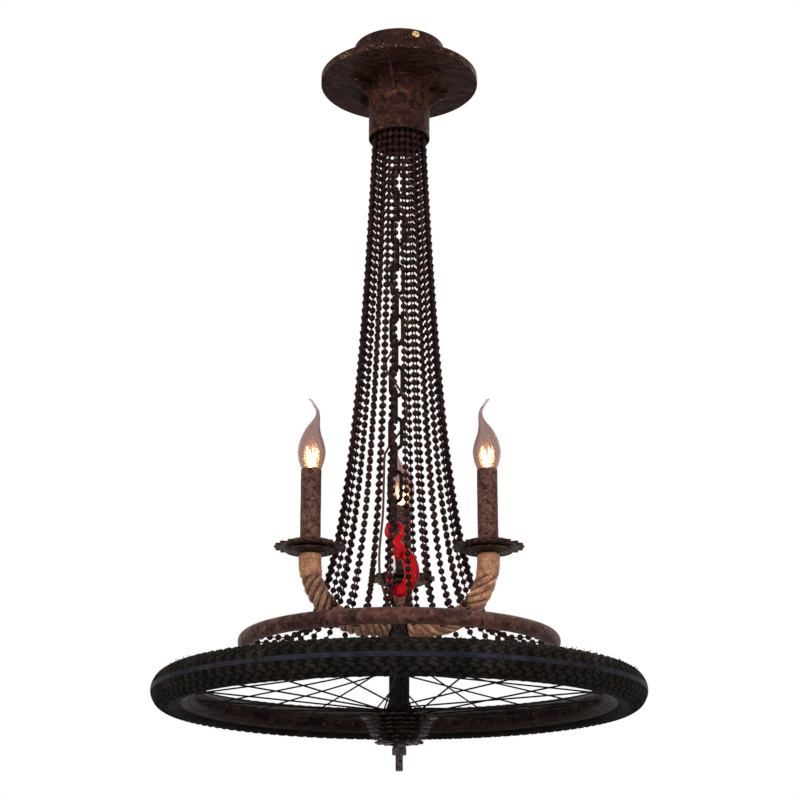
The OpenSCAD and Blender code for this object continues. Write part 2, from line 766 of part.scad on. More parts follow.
// The cable goes down through the neck, round the chain, past the hook and into the post
cable_start = [[35, 0, -37.1], [29, 0.5, -37], [19, 7, -36.5], [13, 12, -46], [13, 12, -60], [12.5, 11.5, -80],
    [11, 10.4, -120]];
cable_end = [[-19.5, -1, -612], [-20.5, -4, -655], [-24.5, -5.5, -700], [-24, -7, -732], [-18.5, -8, -756],
    [-13.5, -6.5, -771], [-12.5, -6, -781], [-12.5, -6, -790]];
cable_wind_top = -158;
cable_wind_low = -579;
cable_front_z = -362;
cable_step = 10.5;
function wind_turn(z) = 270 + 360 * (cable_front_z - z) / cable_wind_pitch;
cable_wind_count = round((cable_wind_top - cable_wind_low) / cable_step);
cable_winding = [
    for (i = [0:cable_wind_count])
        let (z = cable_wind_top + (cable_wind_low - cable_wind_top) * i / cable_wind_count)
            [chain_x(z) + cable_wind_r * cos(wind_turn(z)), cable_wind_r * sin(wind_turn(z)), z],
];

module supply_cable() {
    inner = [for (i = [1:cable_wind_count - 1]) cable_winding[i]];
    line = concat(smooth(concat(cable_start, [cable_winding[0]]), 2), inner,
        smooth(concat([cable_winding[cable_wind_count]], cable_end), 2));
    r = [for (p = line) cable_d / 2];
    color([0.42, 0.28, 0.18]) sweep(line, r, r, 8, [1, 0, 0]);
}

// Centre post and arms

module center_post() {
    color(dark) difference() {
        union() {
            disc(post_r, post_bottom + 1.5, post_top - 1.5);
            disc(post_r - 1.5, post_bottom, post_top);
        }
        disc(hanger_d / 2 + slip, post_top - eye_shank - gap, post_top + over);
        disc(axle_bore, post_bottom - over, axle_top + gap);
        for (turn = arm_turns) rotate(turn) translate([arm_end_r - gap, 0, arm_z]) rotate([0, 90, 0])
            cylinder(r = arm_tube_r + slip, h = post_r, $fn = round_fn);
        translate([cable_end[7][0], cable_end[7][1], cable_end[7][2] - 1])
            cylinder(r = cable_d / 2 + gap, h = 20, $fn = round_fn);
    }
}

// An arm's bend in its own plane, from one angle of it to another
module arm_arc(outer, inner, from, to) {
    translate([bend_r, 0, bend_z]) rotate([-90, 0, 0]) rotate(from) rotate_extrude(angle = to - from, $fn = fine)
        translate([arm_bend, 0]) ring_profile(outer, inner);
}

// Its upright end, and its level run in to the post
module arm_upright(outer, inner, top) {
    translate([arm_r, 0, bend_z]) linear_extrude(top - bend_z) ring_profile(outer, inner);
}

module arm_level(outer, inner, end_r) {
    translate([end_r, 0, arm_z]) rotate([0, 90, 0]) linear_extrude(bend_r - end_r) ring_profile(outer, inner);
}

module ring_profile(outer, inner) {
    difference() {
        circle(r = outer, $fn = round_fn);
        circle(r = inner, $fn = round_fn);
    }
}

module arm_tube(i) {
    color(dark) rotate(arm_turns[i]) {
        arm_upright(arm_tube_r, arm_bore_r, tube_top);
        arm_arc(arm_tube_r, arm_bore_r, 0, 90);
        arm_level(arm_tube_r, arm_bore_r, arm_end_r);
    }
}

module arm_rope(i) {
    rope_in = arm_tube_r + gap;
    under_r = whipping_d / 2 - 2;
    color(tan_rope) rotate(arm_turns[i]) {
        arm_level(rope_d / 2, rope_in, post_r + gap);
        arm_arc(rope_d / 2, rope_in, whipping_turn + 0.3, 90);
        arm_arc(under_r, rope_in, 0, whipping_turn + 0.2);
        arm_upright(under_r, rope_in, tube_top);
    }
}

module rope_whippings() {
    outer = whipping_d / 2;
    inner = outer - 1.8;
    color(tan_rope) for (turn = arm_turns) rotate(turn) {
        translate([arm_r, 0, 0]) rotate_extrude($fn = round_fn) polygon([
            [inner, bend_z], [outer, bend_z], [outer, whipping_top - 3], [outer - 0.5, whipping_top - 1],
            [outer - 1.2, whipping_top], [inner, whipping_top],
        ]);
        arm_arc(outer, inner, 0, whipping_turn);
    }
}

// Places a piece on each candle's own axis
module at_candles() {
    for (turn = arm_turns) rotate(turn) translate([arm_r, 0, 0]) children();
}

module pan_discs() {
    color(rust) at_candles() difference() {
        union() {
            disc(20, disc_top - spacer_h, disc_top);
            disc(pan_disc_d / 2 - 1, disc_top - spacer_h - pan_disc_t, disc_top - spacer_h);
            disc(pan_disc_d / 2, disc_under + 0.6, disc_top - spacer_h - 0.6);
            disc(arm_tube_r + 8, boss_under, disc_under);
        }
        disc(pipe_r + slip, boss_under - over, disc_top + over);
    }
}

module pan_sprocket(i) {
    color(rust) rotate(arm_turns[i]) translate([arm_r, 0, sprocket_top - pan_sprocket_t]) difference() {
        linear_extrude(pan_sprocket_t) rotate(180 / pan_teeth) sprocket_outline(pan_teeth);
        translate([0, 0, -over]) cylinder(r = pipe_r + slip, h = pan_sprocket_t + 2 * over, $fn = round_fn);
    }
}

module pan_rings() {
    // A shallow cup with notches round its rim, as on a chain wheel's lock ring
    notches = 24;
    notch = 1.6;
    color(rust) at_candles() difference() {
        disc(pan_ring_d / 2, pan_top_z - pan_ring_h, pan_top_z);
        disc(pan_ring_d / 2 - 3, pan_top_z - 1.5, pan_top_z + over);
        disc(pipe_r + slip, pan_top_z - 2 * pan_ring_h, pan_top_z + over);
        for (k = [0:notches - 1]) rotate(k * 360 / notches) translate([pan_ring_d / 2, 0, pan_top_z - pan_ring_h / 2])
            cube([2 * notch, notch, 2 * pan_ring_h], center = true);
    }
}

module holder_pipes() {
    color(brass) at_candles() translate([0, 0, pipe_low]) pipe(pipe_r, pipe_r - 1.2, pipe_top - pipe_low);
}

module holder_nuts() {
    color(brass) at_candles() hex_nut(14, pipe_r + slip, pan_top_z - 1.5 + gap, 4);
}

module lampholders() {
    color("ivory") at_candles() difference() {
        union() {
            disc(holder_d / 2, holder_low + 12, holder_top);
            disc(pipe_r + 2.5, holder_low, holder_low + 12);
        }
        disc(pipe_r + slip, holder_low - over, pipe_top + gap);
        disc(bulb_cap_d / 2 + 0.3, cap_low - 4, holder_top + over);
    }
}

module sleeve(i) {
    sleeve_in = sleeve_d / 2 - sleeve_wall;
    color(rust) rotate(arm_turns[i]) translate([arm_r, 0, pan_top_z - 1.5 + gap])
        pipe(sleeve_d / 2, sleeve_in, sleeve_top - pan_top_z + 1.5 - gap);
}

module bulb_caps() {
    color(brass) at_candles() {
        disc(bulb_cap_d / 2, cap_low + 3, cap_top);
        disc(bulb_cap_d / 4, cap_low, cap_low + 3);
    }
}

// A candle bulb with a bent tip: a blown shell below, a drawn tip above that ends solid
module bulb_glass(i, lean) {
    outline = smooth(bulb_line, 2);
    tip = smooth(tip_line, 2);
    hollow = [for (q = tip) if (q[0] < 66) [q[0], q[1], q[2] - bulb_wall - (q[0] - tip[0][0]) * 0.03]];
    shell = [for (p = outline) [p[1] * bulb_d / 2, p[0]]];
    inside = [for (k = [len(shell) - 1:-1:0]) shell[k] - [bulb_wall, 0]];
    size = bulb_d / 35;
    color([0.85, 0.9, 0.95, 0.4]) rotate(arm_turns[i]) translate([arm_r, 0, sleeve_top]) {
        rotate_extrude($fn = fine) polygon(concat(shell, inside));
        rotate(lean - arm_turns[i])
            level_rings([
                for (k = [len(hollow) - 1:-1:0]) [hollow[k][0], hollow[k][1], hollow[k][2] * size],
                for (q = tip) [q[0], q[1], q[2] * size],
            ], 20);
    }
}

module bulb_filaments() {
    stem_h = 16;
    leg = 7;
    color("gold") at_candles() translate([0, 0, sleeve_top - 10.5]) {
        cylinder(r1 = 3.2, r2 = 1.6, h = stem_h, $fn = small_fn);
        for (side = [-1, 1]) translate([side * 1.1, 0, stem_h - 1]) rotate([0, side * 30, 0])
            cylinder(r = 0.3, h = leg, $fn = small_fn);
        translate([0, 0, stem_h - 1 + leg * cos(30)]) rotate([90, 0, 0]) rotate_extrude(angle = 180, $fn = round_fn)
            translate([1.1 + leg * sin(30), 0]) circle(r = 0.45, $fn = small_fn);
    }
}

// Axle and hub

module axle() {
    groove_top = nut_top - nut_h - gap / 2;
    color("silver") rotate_extrude($fn = fine) polygon([
        [0, axle_low], [axle_r - axle_chamfer, axle_low], [axle_r, axle_low + axle_chamfer],
        [axle_r, groove_top - axle_groove], [axle_r - axle_chamfer, groove_top - axle_groove],
        [axle_r - axle_chamfer, groove_top], [axle_r, groove_top], [axle_r, axle_top], [0, axle_top],
    ]);
}

// A bearing cone seen from inside the hub out: nose, then shoulder
module cone_at(face, way) {
    translate([0, 0, face]) rotate([way > 0 ? 0 : 180, 0, 0]) rotate_extrude($fn = fine) polygon([
        [axle_bore, -cone_nose], [cone_r, -cone_nose], [cone_r, 0], [cone_shoulder_r, 0.6],
        [cone_shoulder_r, cone_h - cone_nose], [axle_bore, cone_h - cone_nose],
    ]);
}

// Where the cones' faces meet the balls
upper_face = hub_top - cup_depth + ball_d + 0.4;
lower_face = hub_low + cup_depth - ball_d - 0.4;

module hub_cones() {
    color("silver") {
        cone_at(upper_face, 1);
        cone_at(lower_face, -1);
    }
}

module axle_hardware() {
    upper_low = upper_face + cone_h - cone_nose + gap;
    jam_h = (post_bottom - upper_low) / 2 - gap;
    lower_high = lower_face - cone_h + cone_nose - gap;
    color("silver") {
        translate([0, 0, upper_low]) pipe(8, axle_bore, jam_h);
        hex_nut(nut_af, axle_bore, post_bottom - gap - jam_h, jam_h);
        translate([0, 0, nut_top + gap]) pipe(8, axle_bore, lower_high - nut_top - gap);
        hex_nut(nut_af, axle_bore, nut_top - nut_h, nut_h);
    }
}

module hub_shell() {
    t = hub_flange_t / 2;
    u = upper_flange_z;
    l = lower_flange_z;
    color(dark) difference() {
        rotate_extrude($fn = fine) polygon([
            [hub_bore_r, hub_low + cup_depth], [cup_r_in, hub_low + cup_depth], [cup_r_in, hub_low],
            [thread_r, hub_low], [thread_r, l - t - thread_relief], [flange_root_r, l - t - thread_relief],
            [flange_root_r, l - t], [hub_flange_r, l - t], [hub_flange_r, l + t], [flange_root_r, l + t],
            [barrel_r, l + t + lower_fillet], [barrel_r, u - t - upper_fillet], [flange_root_r, u - t],
            [hub_flange_r, u - t], [hub_flange_r, u + t], [boss_r, u + t], [boss_r, hub_top], [cup_r_in, hub_top],
            [cup_r_in, hub_top - cup_depth], [hub_bore_r, hub_top - cup_depth],
        ]);
        for (flange = [0, 1], k = [0:spokes_per_flange - 1])
            rotate(k * spoke_step + flange * spoke_step / 2)
                translate([spoke_circle_r, 0, (flange == 0 ? u : l) - hub_flange_t])
                    cylinder(r = spoke_r + gap, h = 2 * hub_flange_t, $fn = small_fn);
    }
}

module hub_balls() {
    color("silver") for (z = [upper_face - 0.3 - ball_r, lower_face + 0.3 + ball_r], k = [0:ball_count - 1])
        rotate(k * 360 / ball_count) translate([ball_ring_r, 0, z]) sphere(d = ball_d, $fn = small_fn);
}

// Spokes: on each flange every other one leads and the rest trail, each crossing three of the others
function flange_level(flange) = flange == 0 ? upper_flange_z : lower_flange_z;
function spoke_way(k) = k % 2 == 0 ? 1 : -1;
function spoke_turn(flange, k) = (k + flange / 2) * spoke_step;
// Spokes on a flange's outer side stand higher, to pass over its edge as they fall toward the rim
function spoke_fall(flange) = spoke_run * abs(flange_level(flange) - wheel_z) / rim_in_r;
function spoke_side(flange, k) =
    spoke_off + (spoke_way(k) == (flange == 0 ? 1 : -1) ? spoke_fall(flange) : 0);
function around(r, turn, z) = [r * cos(turn), r * sin(turn), z];
function spoke_foot(flange, k) =
    around(spoke_circle_r, spoke_turn(flange, k), flange_level(flange) + spoke_way(k) * spoke_side(flange, k));
function spoke_tip(flange, k) =
    around(rim_in_r + rim_wall, spoke_turn(flange, k) + spoke_way(k) * crosses * spoke_step,
        wheel_z + (flange == 0 ? rim_spoke_off : -rim_spoke_off));
function toward_hub(flange, k, length) =
    spoke_tip(flange, k) + length * unit(spoke_foot(flange, k) - spoke_tip(flange, k));

module spokes() {
    color(dark) for (flange = [0, 1], k = [0:spokes_per_flange - 1])
        bar_between(spoke_foot(flange, k), toward_hub(flange, k, 2), spoke_r);
}

module spoke_elbows() {
    color(dark) for (flange = [0, 1], k = [0:spokes_per_flange - 1])
        translate([spoke_foot(flange, k)[0], spoke_foot(flange, k)[1], flange_level(flange)])
            rotate([spoke_way(k) > 0 ? 0 : 180, 0, 0]) {
                disc(spoke_r, -hub_flange_t / 2 - gap, spoke_side(flange, k) - spoke_r - gap);
                disc(2 * spoke_r, -hub_flange_t / 2 - gap - 1, -hub_flange_t / 2 - gap);
            }
}

module spoke_nipples() {
    color(brass) for (flange = [0, 1], k = [0:spokes_per_flange - 1]) difference() {
        bar_between(toward_hub(flange, k, 0.4), toward_hub(flange, k, nipple_h), nipple_d / 2);
        bar_between(toward_hub(flange, k, -over), toward_hub(flange, k, nipple_h + over), spoke_r + slip);
    }
}

module rim() {
    half = rim_w / 2;
    seat = rim_r - 8;
    color([0.33, 0.22, 0.19]) difference() {
        translate([0, 0, wheel_z]) rotate_extrude($fn = fine) polygon([
            [rim_in_r, -half + 6], [rim_in_r + 2, -half + 4], [rim_in_r + 12, -half], [rim_r, -half],
            [rim_r, -half + rim_wall], [seat, -half + rim_wall], [seat - 2, -half + rim_wall + 3],
            [rim_in_r + 10, -half + 6], [rim_in_r + rim_wall, -half + 8],
            [rim_in_r + rim_wall, half - 8], [rim_in_r + 10, half - 6], [seat - 2, half - rim_wall - 3],
            [seat, half - rim_wall], [rim_r, half - rim_wall], [rim_r, half], [rim_in_r + 12, half],
            [rim_in_r + 2, half - 4], [rim_in_r, half - 6],
        ]);
        for (flange = [0, 1], k = [0:spokes_per_flange - 1])
            bar_between(toward_hub(flange, k, -4), toward_hub(flange, k, 4), nipple_d / 2 + gap);
        rotate(valve_turn) translate([rim_in_r - over, 0, wheel_z]) rotate([0, 90, 0])
            cylinder(r = valve_r + gap, h = rim_wall + 3, $fn = small_fn);
    }
}
valve_turn = 265;
valve_r = 4;
valve_h = 30;

module inner_tube() {
    tube_r = tyre_w / 2 - tyre_wall - gap;
    color(dark) {
        translate([0, 0, wheel_z]) rotate_extrude($fn = fine) translate([tyre_mid_r, 0])
            ring_profile(tube_r, tube_r - tube_wall);
        rotate(valve_turn) translate([rim_in_r - valve_h, 0, wheel_z]) rotate([0, 90, 0]) {
            cylinder(r = valve_r, h = tyre_mid_r - tube_r + tube_wall / 2 - rim_in_r + valve_h, $fn = small_fn);
            translate([0, 0, -4]) cylinder(r = valve_r - 1, h = 4, $fn = small_fn);
        }
    }
}

module tyre() {
    outer = tyre_w / 2;
    inner = outer - tyre_wall;
    lip = gap - (rim_below_tyre - outer);
    color([0.13, 0.13, 0.14]) translate([0, 0, wheel_z]) rotate_extrude($fn = fine) translate([tyre_mid_r, 0])
        difference() {
            union() {
                difference() {
                    circle(r = outer, $fn = fine);
                    translate([-2 * outer, -outer]) square([2 * outer + lip, 2 * outer]);
                }
                polygon([[lip - bead_h, -bead_half], [lip + 4, -bead_half], [lip + 4, bead_half],
                    [lip - bead_h, bead_half]]);
            }
            circle(r = inner, $fn = fine);
            translate([lip - bead_h - over, -bead_half + bead_thick])
                square([bead_h + 6 + over, 2 * (bead_half - bead_thick)]);
        }
}

// Freewheel

module freewheel_core() {
    color("silver") difference() {
        disc(core_r, core_low, core_top - gap);
        disc(thread_r + slip, core_low - over, core_top + over);
    }
}

module freewheel_body() {
    color(dark) difference() {
        union() {
            disc(body_r, body_step_z, core_top - gap);
            disc(body_small_r, body_low, body_step_z);
        }
        disc(core_r + slip, core_low - gap, core_top + over);
        disc(body_bore_r, body_low - over, core_top);
    }
}

module freewheel_cogs() {
    color(rust) for (k = [0:cog_count - 1]) translate([0, 0, first_cog_z - k * cog_pitch - cog_t]) difference() {
        linear_extrude(cog_t) rotate(k * 7) sprocket_outline(cog_teeth[k]);
        translate([0, 0, -over])
            cylinder(r = (k < big_cogs ? body_r : body_small_r) + slip, h = cog_t + 2 * over, $fn = fine);
    }
}

ceiling_crossbar();
side_screws();
canopy_cup();
flange_pan();
neck_tube();
gussets();
canopy_fasteners();
terminal_block();
strand_plate();
hanger_bolt();
suspension_chain();
supply_cable();
strand_side(0);  // strands_front
strand_side(1);  // strands_right
strand_side(2);  // strands_left
ring_tube();
hook_body();
latch_pin();
latch_spring();
hook_latch();
eye_bolt();
center_post();
arm_tube(0);  // arm_tube_left
arm_tube(1);  // arm_tube_right
arm_tube(2);  // arm_tube_back
arm_rope(0);  // arm_rope_left
arm_rope(1);  // arm_rope_right
arm_rope(2);  // arm_rope_back
rope_whippings();
pan_discs();
pan_sprocket(0);  // pan_sprocket_left
pan_sprocket(1);  // pan_sprocket_right
pan_sprocket(2);  // pan_sprocket_back
pan_rings();
holder_pipes();
holder_nuts();
lampholders();
sleeve(0);  // sleeve_left
sleeve(1);  // sleeve_right
sleeve(2);  // sleeve_back
bulb_caps();
bulb_glass(0, 0);  // bulb_glass_left
bulb_glass(1, 180);  // bulb_glass_right
bulb_glass(2, 180);  // bulb_glass_back
bulb_filaments();
axle();
hub_cones();
axle_hardware();
hub_shell();
hub_balls();
spokes();
spoke_elbows();
spoke_nipples();
rim();
inner_tube();
tyre();
freewheel_core();
freewheel_body();
freewheel_cogs();
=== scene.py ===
"""Looks of the bicycle wheel pendant light: bead strands, laid rope, tyre tread, lit bulbs, aged metal."""

import math

import bpy
import numpy as np
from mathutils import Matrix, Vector

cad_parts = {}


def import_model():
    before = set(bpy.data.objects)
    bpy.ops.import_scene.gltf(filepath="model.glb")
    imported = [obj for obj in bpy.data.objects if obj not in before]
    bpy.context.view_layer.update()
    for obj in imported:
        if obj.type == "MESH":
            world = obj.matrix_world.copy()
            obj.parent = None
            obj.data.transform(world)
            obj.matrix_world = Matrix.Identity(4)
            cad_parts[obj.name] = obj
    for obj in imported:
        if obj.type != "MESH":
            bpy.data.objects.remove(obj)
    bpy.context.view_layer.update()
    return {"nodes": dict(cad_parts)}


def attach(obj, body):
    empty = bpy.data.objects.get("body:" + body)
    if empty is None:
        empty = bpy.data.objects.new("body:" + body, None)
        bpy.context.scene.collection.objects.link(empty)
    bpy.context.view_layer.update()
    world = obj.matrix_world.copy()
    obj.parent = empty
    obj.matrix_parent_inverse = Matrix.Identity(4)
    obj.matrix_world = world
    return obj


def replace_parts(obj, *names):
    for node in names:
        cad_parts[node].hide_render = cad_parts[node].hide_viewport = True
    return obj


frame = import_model()
nodes = frame["nodes"]
MM = 0.001
TAU = 2 * math.pi
rng = np.random.RandomState(7)


# Camera

def add_camera():
    data = bpy.data.cameras.new("camera")
    data.sensor_width = 36
    data.lens = 79.89
    data.shift_x = 0.001
    data.shift_y = 0.0006
    data.clip_start = 0.05
    data.clip_end = 40
    cam = bpy.data.objects.new("camera", data)
    cam.location = (0, -2.173, -1.1937)
    cam.rotation_euler = (math.radians(90 + 17.62), 0, 0)
    bpy.context.scene.collection.objects.link(cam)
    bpy.context.scene.camera = cam


add_camera()


# Mesh helpers

def make(name, verts, faces, material, body="fixture", smooth=True):
    mesh = bpy.data.meshes.new(name)
    mesh.from_pydata([tuple(v) for v in verts], [], faces)
    mesh.validate()
    mesh.update()
    if smooth:
        mesh.polygons.foreach_set("use_smooth", [True] * len(mesh.polygons))
    obj = bpy.data.objects.new(name, mesh)
    bpy.context.scene.collection.objects.link(obj)
    mesh.materials.append(material)
    if body:
        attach(obj, body)
    return obj


class Shape:
    """Vertices and faces of one piece, gathered from its parts."""

    def __init__(self):
        self.verts = []
        self.faces = []

    def add(self, verts, faces):
        base = len(self.verts)
        self.verts.extend(verts)
        self.faces.extend([tuple(i + base for i in f) for f in faces])

    def make(self, name, material, body="fixture", smooth=True):
        return make(name, self.verts, self.faces, material, body, smooth)


def quads(low, high, count):
    """Faces between two rings of vertices, each given by the number of its first vertex."""
    return [(low + k, low + (k + 1) % count, high + (k + 1) % count, high + k) for k in range(count)]


def ring_faces(rings, sides, closed=False):
    """Faces between rings of vertices; closed joins the last ring to the first, else both ends are capped."""
    faces = []
    last = rings if closed else rings - 1
    for i in range(last):
        faces += quads(i * sides, (i + 1) % rings * sides, sides)
    if not closed:
        faces.append(tuple(range(sides))[::-1])
        faces.append(tuple((rings - 1) * sides + k for k in range(sides)))
    return faces


def lathe(profile, sides, closed=True, centre=(0, 0, 0)):
    """A solid of revolution about Z, from (radius, height) points in metres."""
    verts = []
    for r, z in profile:
        for k in range(sides):
            a = TAU * k / sides
            verts.append((centre[0] + r * math.cos(a), centre[1] + r * math.sin(a), centre[2] + z))
    return verts, ring_faces(len(profile), sides, closed)


def frames(path):
    """A path's points, their tangents, and two side directions carried along it."""
    p = np.array(path, float)
    t = np.gradient(p, axis=0)
    t /= np.linalg.norm(t, axis=1)[:, None]
    n = np.zeros_like(p)
    v = np.array([1.0, 0, 0]) if abs(t[0][0]) < 0.9 else np.array([0, 1.0, 0])
    for i in range(len(p)):
        v = v - np.dot(v, t[i]) * t[i]
        v = v / np.linalg.norm(v)
        n[i] = v
    return p, t, n, np.cross(t, n)


def tube(path, radius, sides):
    """A round tube along a path; radius is a number or one for each point."""
    p, t, n, b = frames(path)
    r = np.broadcast_to(np.asarray(radius, float), (len(p),))
    a = np.arange(sides) * TAU / sides
    spread = np.cos(a)[None, :, None] * n[:, None] + np.sin(a)[None, :, None] * b[:, None]
    verts = p[:, None] + r[:, None, None] * spread
    return [tuple(v) for v in verts.reshape(-1, 3)], ring_faces(len(p), sides)


def bar_ring(centre, across, axis, radius, bar, rings, sides):
    """An upright ring of round bar; across and up span its plane."""
    verts = []
    for i in range(rings):
        a = TAU * i / rings
        out = math.cos(a) * across + math.sin(a) * np.array([0, 0, 1.0])
        for k in range(sides):
            q = TAU * k / sides
            verts.append(tuple(centre + radius * out + bar * (math.cos(q) * out + math.sin(q) * axis)))
    return verts, ring_faces(rings, sides, closed=True)


def smooth_path(points, steps):
    """A Catmull-Rom curve through the points."""
    p = np.array(points, float)
    out = []
    for i in range(len(p) - 1):
        a, b, c, d = p[max(i - 1, 0)], p[i], p[i + 1], p[min(i + 2, len(p) - 1)]
        for j in range(steps):
            t = j / steps
            out.append(0.5 * (2 * b + (c - a) * t + (2 * a - 5 * b + 4 * c - d) * t * t
                              + (3 * b - a - 3 * c + d) * t ** 3))
    out.append(p[-1])
    return np.array(out)


def turned(verts, degrees):
    """The vertices turned about Z."""
    a = math.radians(degrees)
    c, s = math.cos(a), math.sin(a)
    return [(c * x - s * y, s * x + c * y, z) for x, y, z in verts]


# Materials

def new_material(name):
    m = bpy.data.materials.new(name)
    m.use_nodes = True
    tree = m.node_tree
    tree.nodes.clear()
    out = tree.nodes.new("ShaderNodeOutputMaterial")
    shader = tree.nodes.new("ShaderNodeBsdfPrincipled")
    tree.links.new(shader.outputs[0], out.inputs[0])
    return m, tree, shader


def noise(tree, scale, detail=5, rough=0.6, stretch=None, warp=0.0):
    coord = tree.nodes.new("ShaderNodeTexCoord")
    source = coord.outputs["Object"]
    if stretch:
        mapping = tree.nodes.new("ShaderNodeMapping")
        mapping.inputs["Scale"].default_value = stretch
        tree.links.new(source, mapping.inputs[0])
        source = mapping.outputs[0]
    tex = tree.nodes.new("ShaderNodeTexNoise")
    tex.inputs["Detail"].default_value = detail
    tex.inputs["Roughness"].default_value = rough
    tex.inputs["Distortion"].default_value = warp
    tex.inputs["Scale"].default_value = scale
    tree.links.new(source, tex.inputs["Vector"])
    return tex.outputs["Fac"]


def ramp(tree, value, stops):
    node = tree.nodes.new("ShaderNodeValToRGB")
    elements = node.color_ramp.elements
    while len(elements) > 1:
        elements.remove(elements[0])
    for i, (pos, colour) in enumerate(stops):
        e = elements[0] if i == 0 else elements.new(pos)
        e.position = pos
        e.color = (*colour, 1)
    tree.links.new(value, node.inputs[0])
    return node.outputs[0]


def grey(v):
    return (v, v, v)


def mix(tree, factor, a, b):
    """A mix of a and b, each a socket or a colour."""
    node = tree.nodes.new("ShaderNodeMix")
    node.data_type = "RGBA"
    for socket, value in ((node.inputs[0], factor), (node.inputs[6], a), (node.inputs[7], b)):
        if hasattr(value, "is_output"):
            tree.links.new(value, socket)
        else:
            socket.default_value = (*value, 1)
    return node.outputs[2]


def multiplied(tree, a, b):
    node = tree.nodes.new("ShaderNodeMix")
    node.data_type = "RGBA"
    node.blend_type = "MULTIPLY"
    node.inputs[0].default_value = 1
    tree.links.new(a, node.inputs[6])
    tree.links.new(b, node.inputs[7])
    return node.outputs[2]


def put(tree, shader, inputs):
    """Gives each of the shader's inputs named a value, or a link from a socket."""
    for name, value in inputs.items():
        if hasattr(value, "is_output"):
            tree.links.new(value, shader.inputs[name])
        else:
            shader.inputs[name].default_value = value


def stored(tree, name):
    """A value that the mesh keeps for each vertex."""
    node = tree.nodes.new("ShaderNodeAttribute")
    node.attribute_name = name
    return node.outputs["Fac"]


def height_share(tree, low, high):
    """0 at the height low, 1 at the height high, in metres."""
    coord = tree.nodes.new("ShaderNodeTexCoord")
    split = tree.nodes.new("ShaderNodeSeparateXYZ")
    tree.links.new(coord.outputs["Object"], split.inputs[0])
    level = tree.nodes.new("ShaderNodeMapRange")
    level.inputs["From Min"].default_value = low
    level.inputs["From Max"].default_value = high
    tree.links.new(split.outputs["Z"], level.inputs["Value"])
    return level.outputs[0]


def bump(tree, shader, value, depth, strength=1.0, before=None):
    node = tree.nodes.new("ShaderNodeBump")
    node.inputs["Distance"].default_value = depth
    node.inputs["Strength"].default_value = strength
    tree.links.new(value, node.inputs["Height"])
    if before:
        tree.links.new(before, node.inputs["Normal"])
    tree.links.new(node.outputs[0], shader.inputs["Normal"])
    return node.outputs[0]


def aged(name, dark, mid, light, scale, blotch, chip, rough=(0.45, 0.75), metal=0.0, depth=0.0004, warp=0.6,
         stretch=None, shine=0.04, edge=0.045, specks=0.72):
    """An aged painted finish: soft colour changes, dark blotches, a few bright chips, uneven gloss."""
    m, tree, shader = new_material(name)
    base = ramp(tree, noise(tree, scale, 8, 0.68, stretch, warp), [(0.3, dark), (0.48, mid), (0.68, light)])
    spots = ramp(tree, noise(tree, scale * 1.7, 3, 0.5, stretch, warp),
                 [(blotch - edge, grey(0)), (blotch + edge, grey(1))])
    colour = mix(tree, spots, dark, base)
    bright = ramp(tree, noise(tree, scale * 4.5, 4, 0.6), [(specks, grey(0)), (specks + 0.03, grey(1))])
    colour = mix(tree, bright, colour, chip)
    gloss = ramp(tree, noise(tree, scale * 2.5, 4), [(0.3, grey(rough[0])), (0.7, grey(rough[1]))])
    put(tree, shader, {"Base Color": colour, "Roughness": gloss, "Metallic": metal,
                       "Specular IOR Level": shine})
    first = bump(tree, shader, noise(tree, scale * 6, 5), depth, 0.6)
    bump(tree, shader, spots, depth * 0.8, 0.7, first)
    return m


def plain(name, colour, rough=0.5, metal=0.0, vary=0.15, scale=200, depth=0.0001, shine=0.2):
    """A finish of one colour with slight changes of tone and gloss."""
    m, tree, shader = new_material(name)
    lo = tuple(c * (1 - vary) for c in colour)
    hi = tuple(min(1, c * (1 + vary)) for c in colour)
    tone = ramp(tree, noise(tree, scale, 5), [(0.35, lo), (0.65, hi)])
    stops = [(0.3, grey(rough * 0.8)), (0.7, grey(min(1, rough * 1.2)))]
    gloss = ramp(tree, noise(tree, scale * 0.6, 4), stops)
    put(tree, shader, {"Base Color": tone, "Roughness": gloss, "Metallic": metal,
                       "Specular IOR Level": shine})
    bump(tree, shader, noise(tree, scale * 3, 4), depth, 0.5)
    return m


M_CANOPY = aged("canopy_paint", (0.010, 0.005, 0.006), (0.036, 0.014, 0.012), (0.11, 0.038, 0.02), 42, 0.43,
                (0.50, 0.30, 0.13), (0.4, 0.7), warp=1.8, stretch=(0.75, 1.1, 1), edge=0.10, specks=0.70)
M_SLEEVE = aged("sleeve_paint", (0.030, 0.014, 0.012), (0.125, 0.058, 0.046), (0.22, 0.11, 0.08), 95, 0.44,
                (0.30, 0.19, 0.12), warp=1.5, edge=0.10, specks=0.70)
M_RING = aged("ring_paint", (0.020, 0.010, 0.010), (0.076, 0.031, 0.027), (0.19, 0.082, 0.056), 50, 0.43,
              (0.36, 0.22, 0.12), (0.3, 0.6), depth=0.0009, shine=0.06, warp=1.2, edge=0.09)
M_PAN = aged("pan_paint", (0.014, 0.008, 0.008), (0.046, 0.023, 0.019), (0.13, 0.06, 0.038), 90, 0.44,
             (0.36, 0.22, 0.13), (0.32, 0.6), shine=0.05, edge=0.08, specks=0.68)
M_BEAD = aged("bead_paint", (0.010, 0.005, 0.005), (0.028, 0.011, 0.010), (0.062, 0.024, 0.020), 120, 0.42,
              (0.26, 0.17, 0.14), (0.4, 0.65), 0.0, 0.0002, shine=0.03)
M_RIM = aged("rim_paint", (0.006, 0.004, 0.004), (0.017, 0.009, 0.008), (0.042, 0.021, 0.016), 45, 0.45,
             (0.30, 0.20, 0.14), (0.4, 0.6), shine=0.02, specks=0.69)
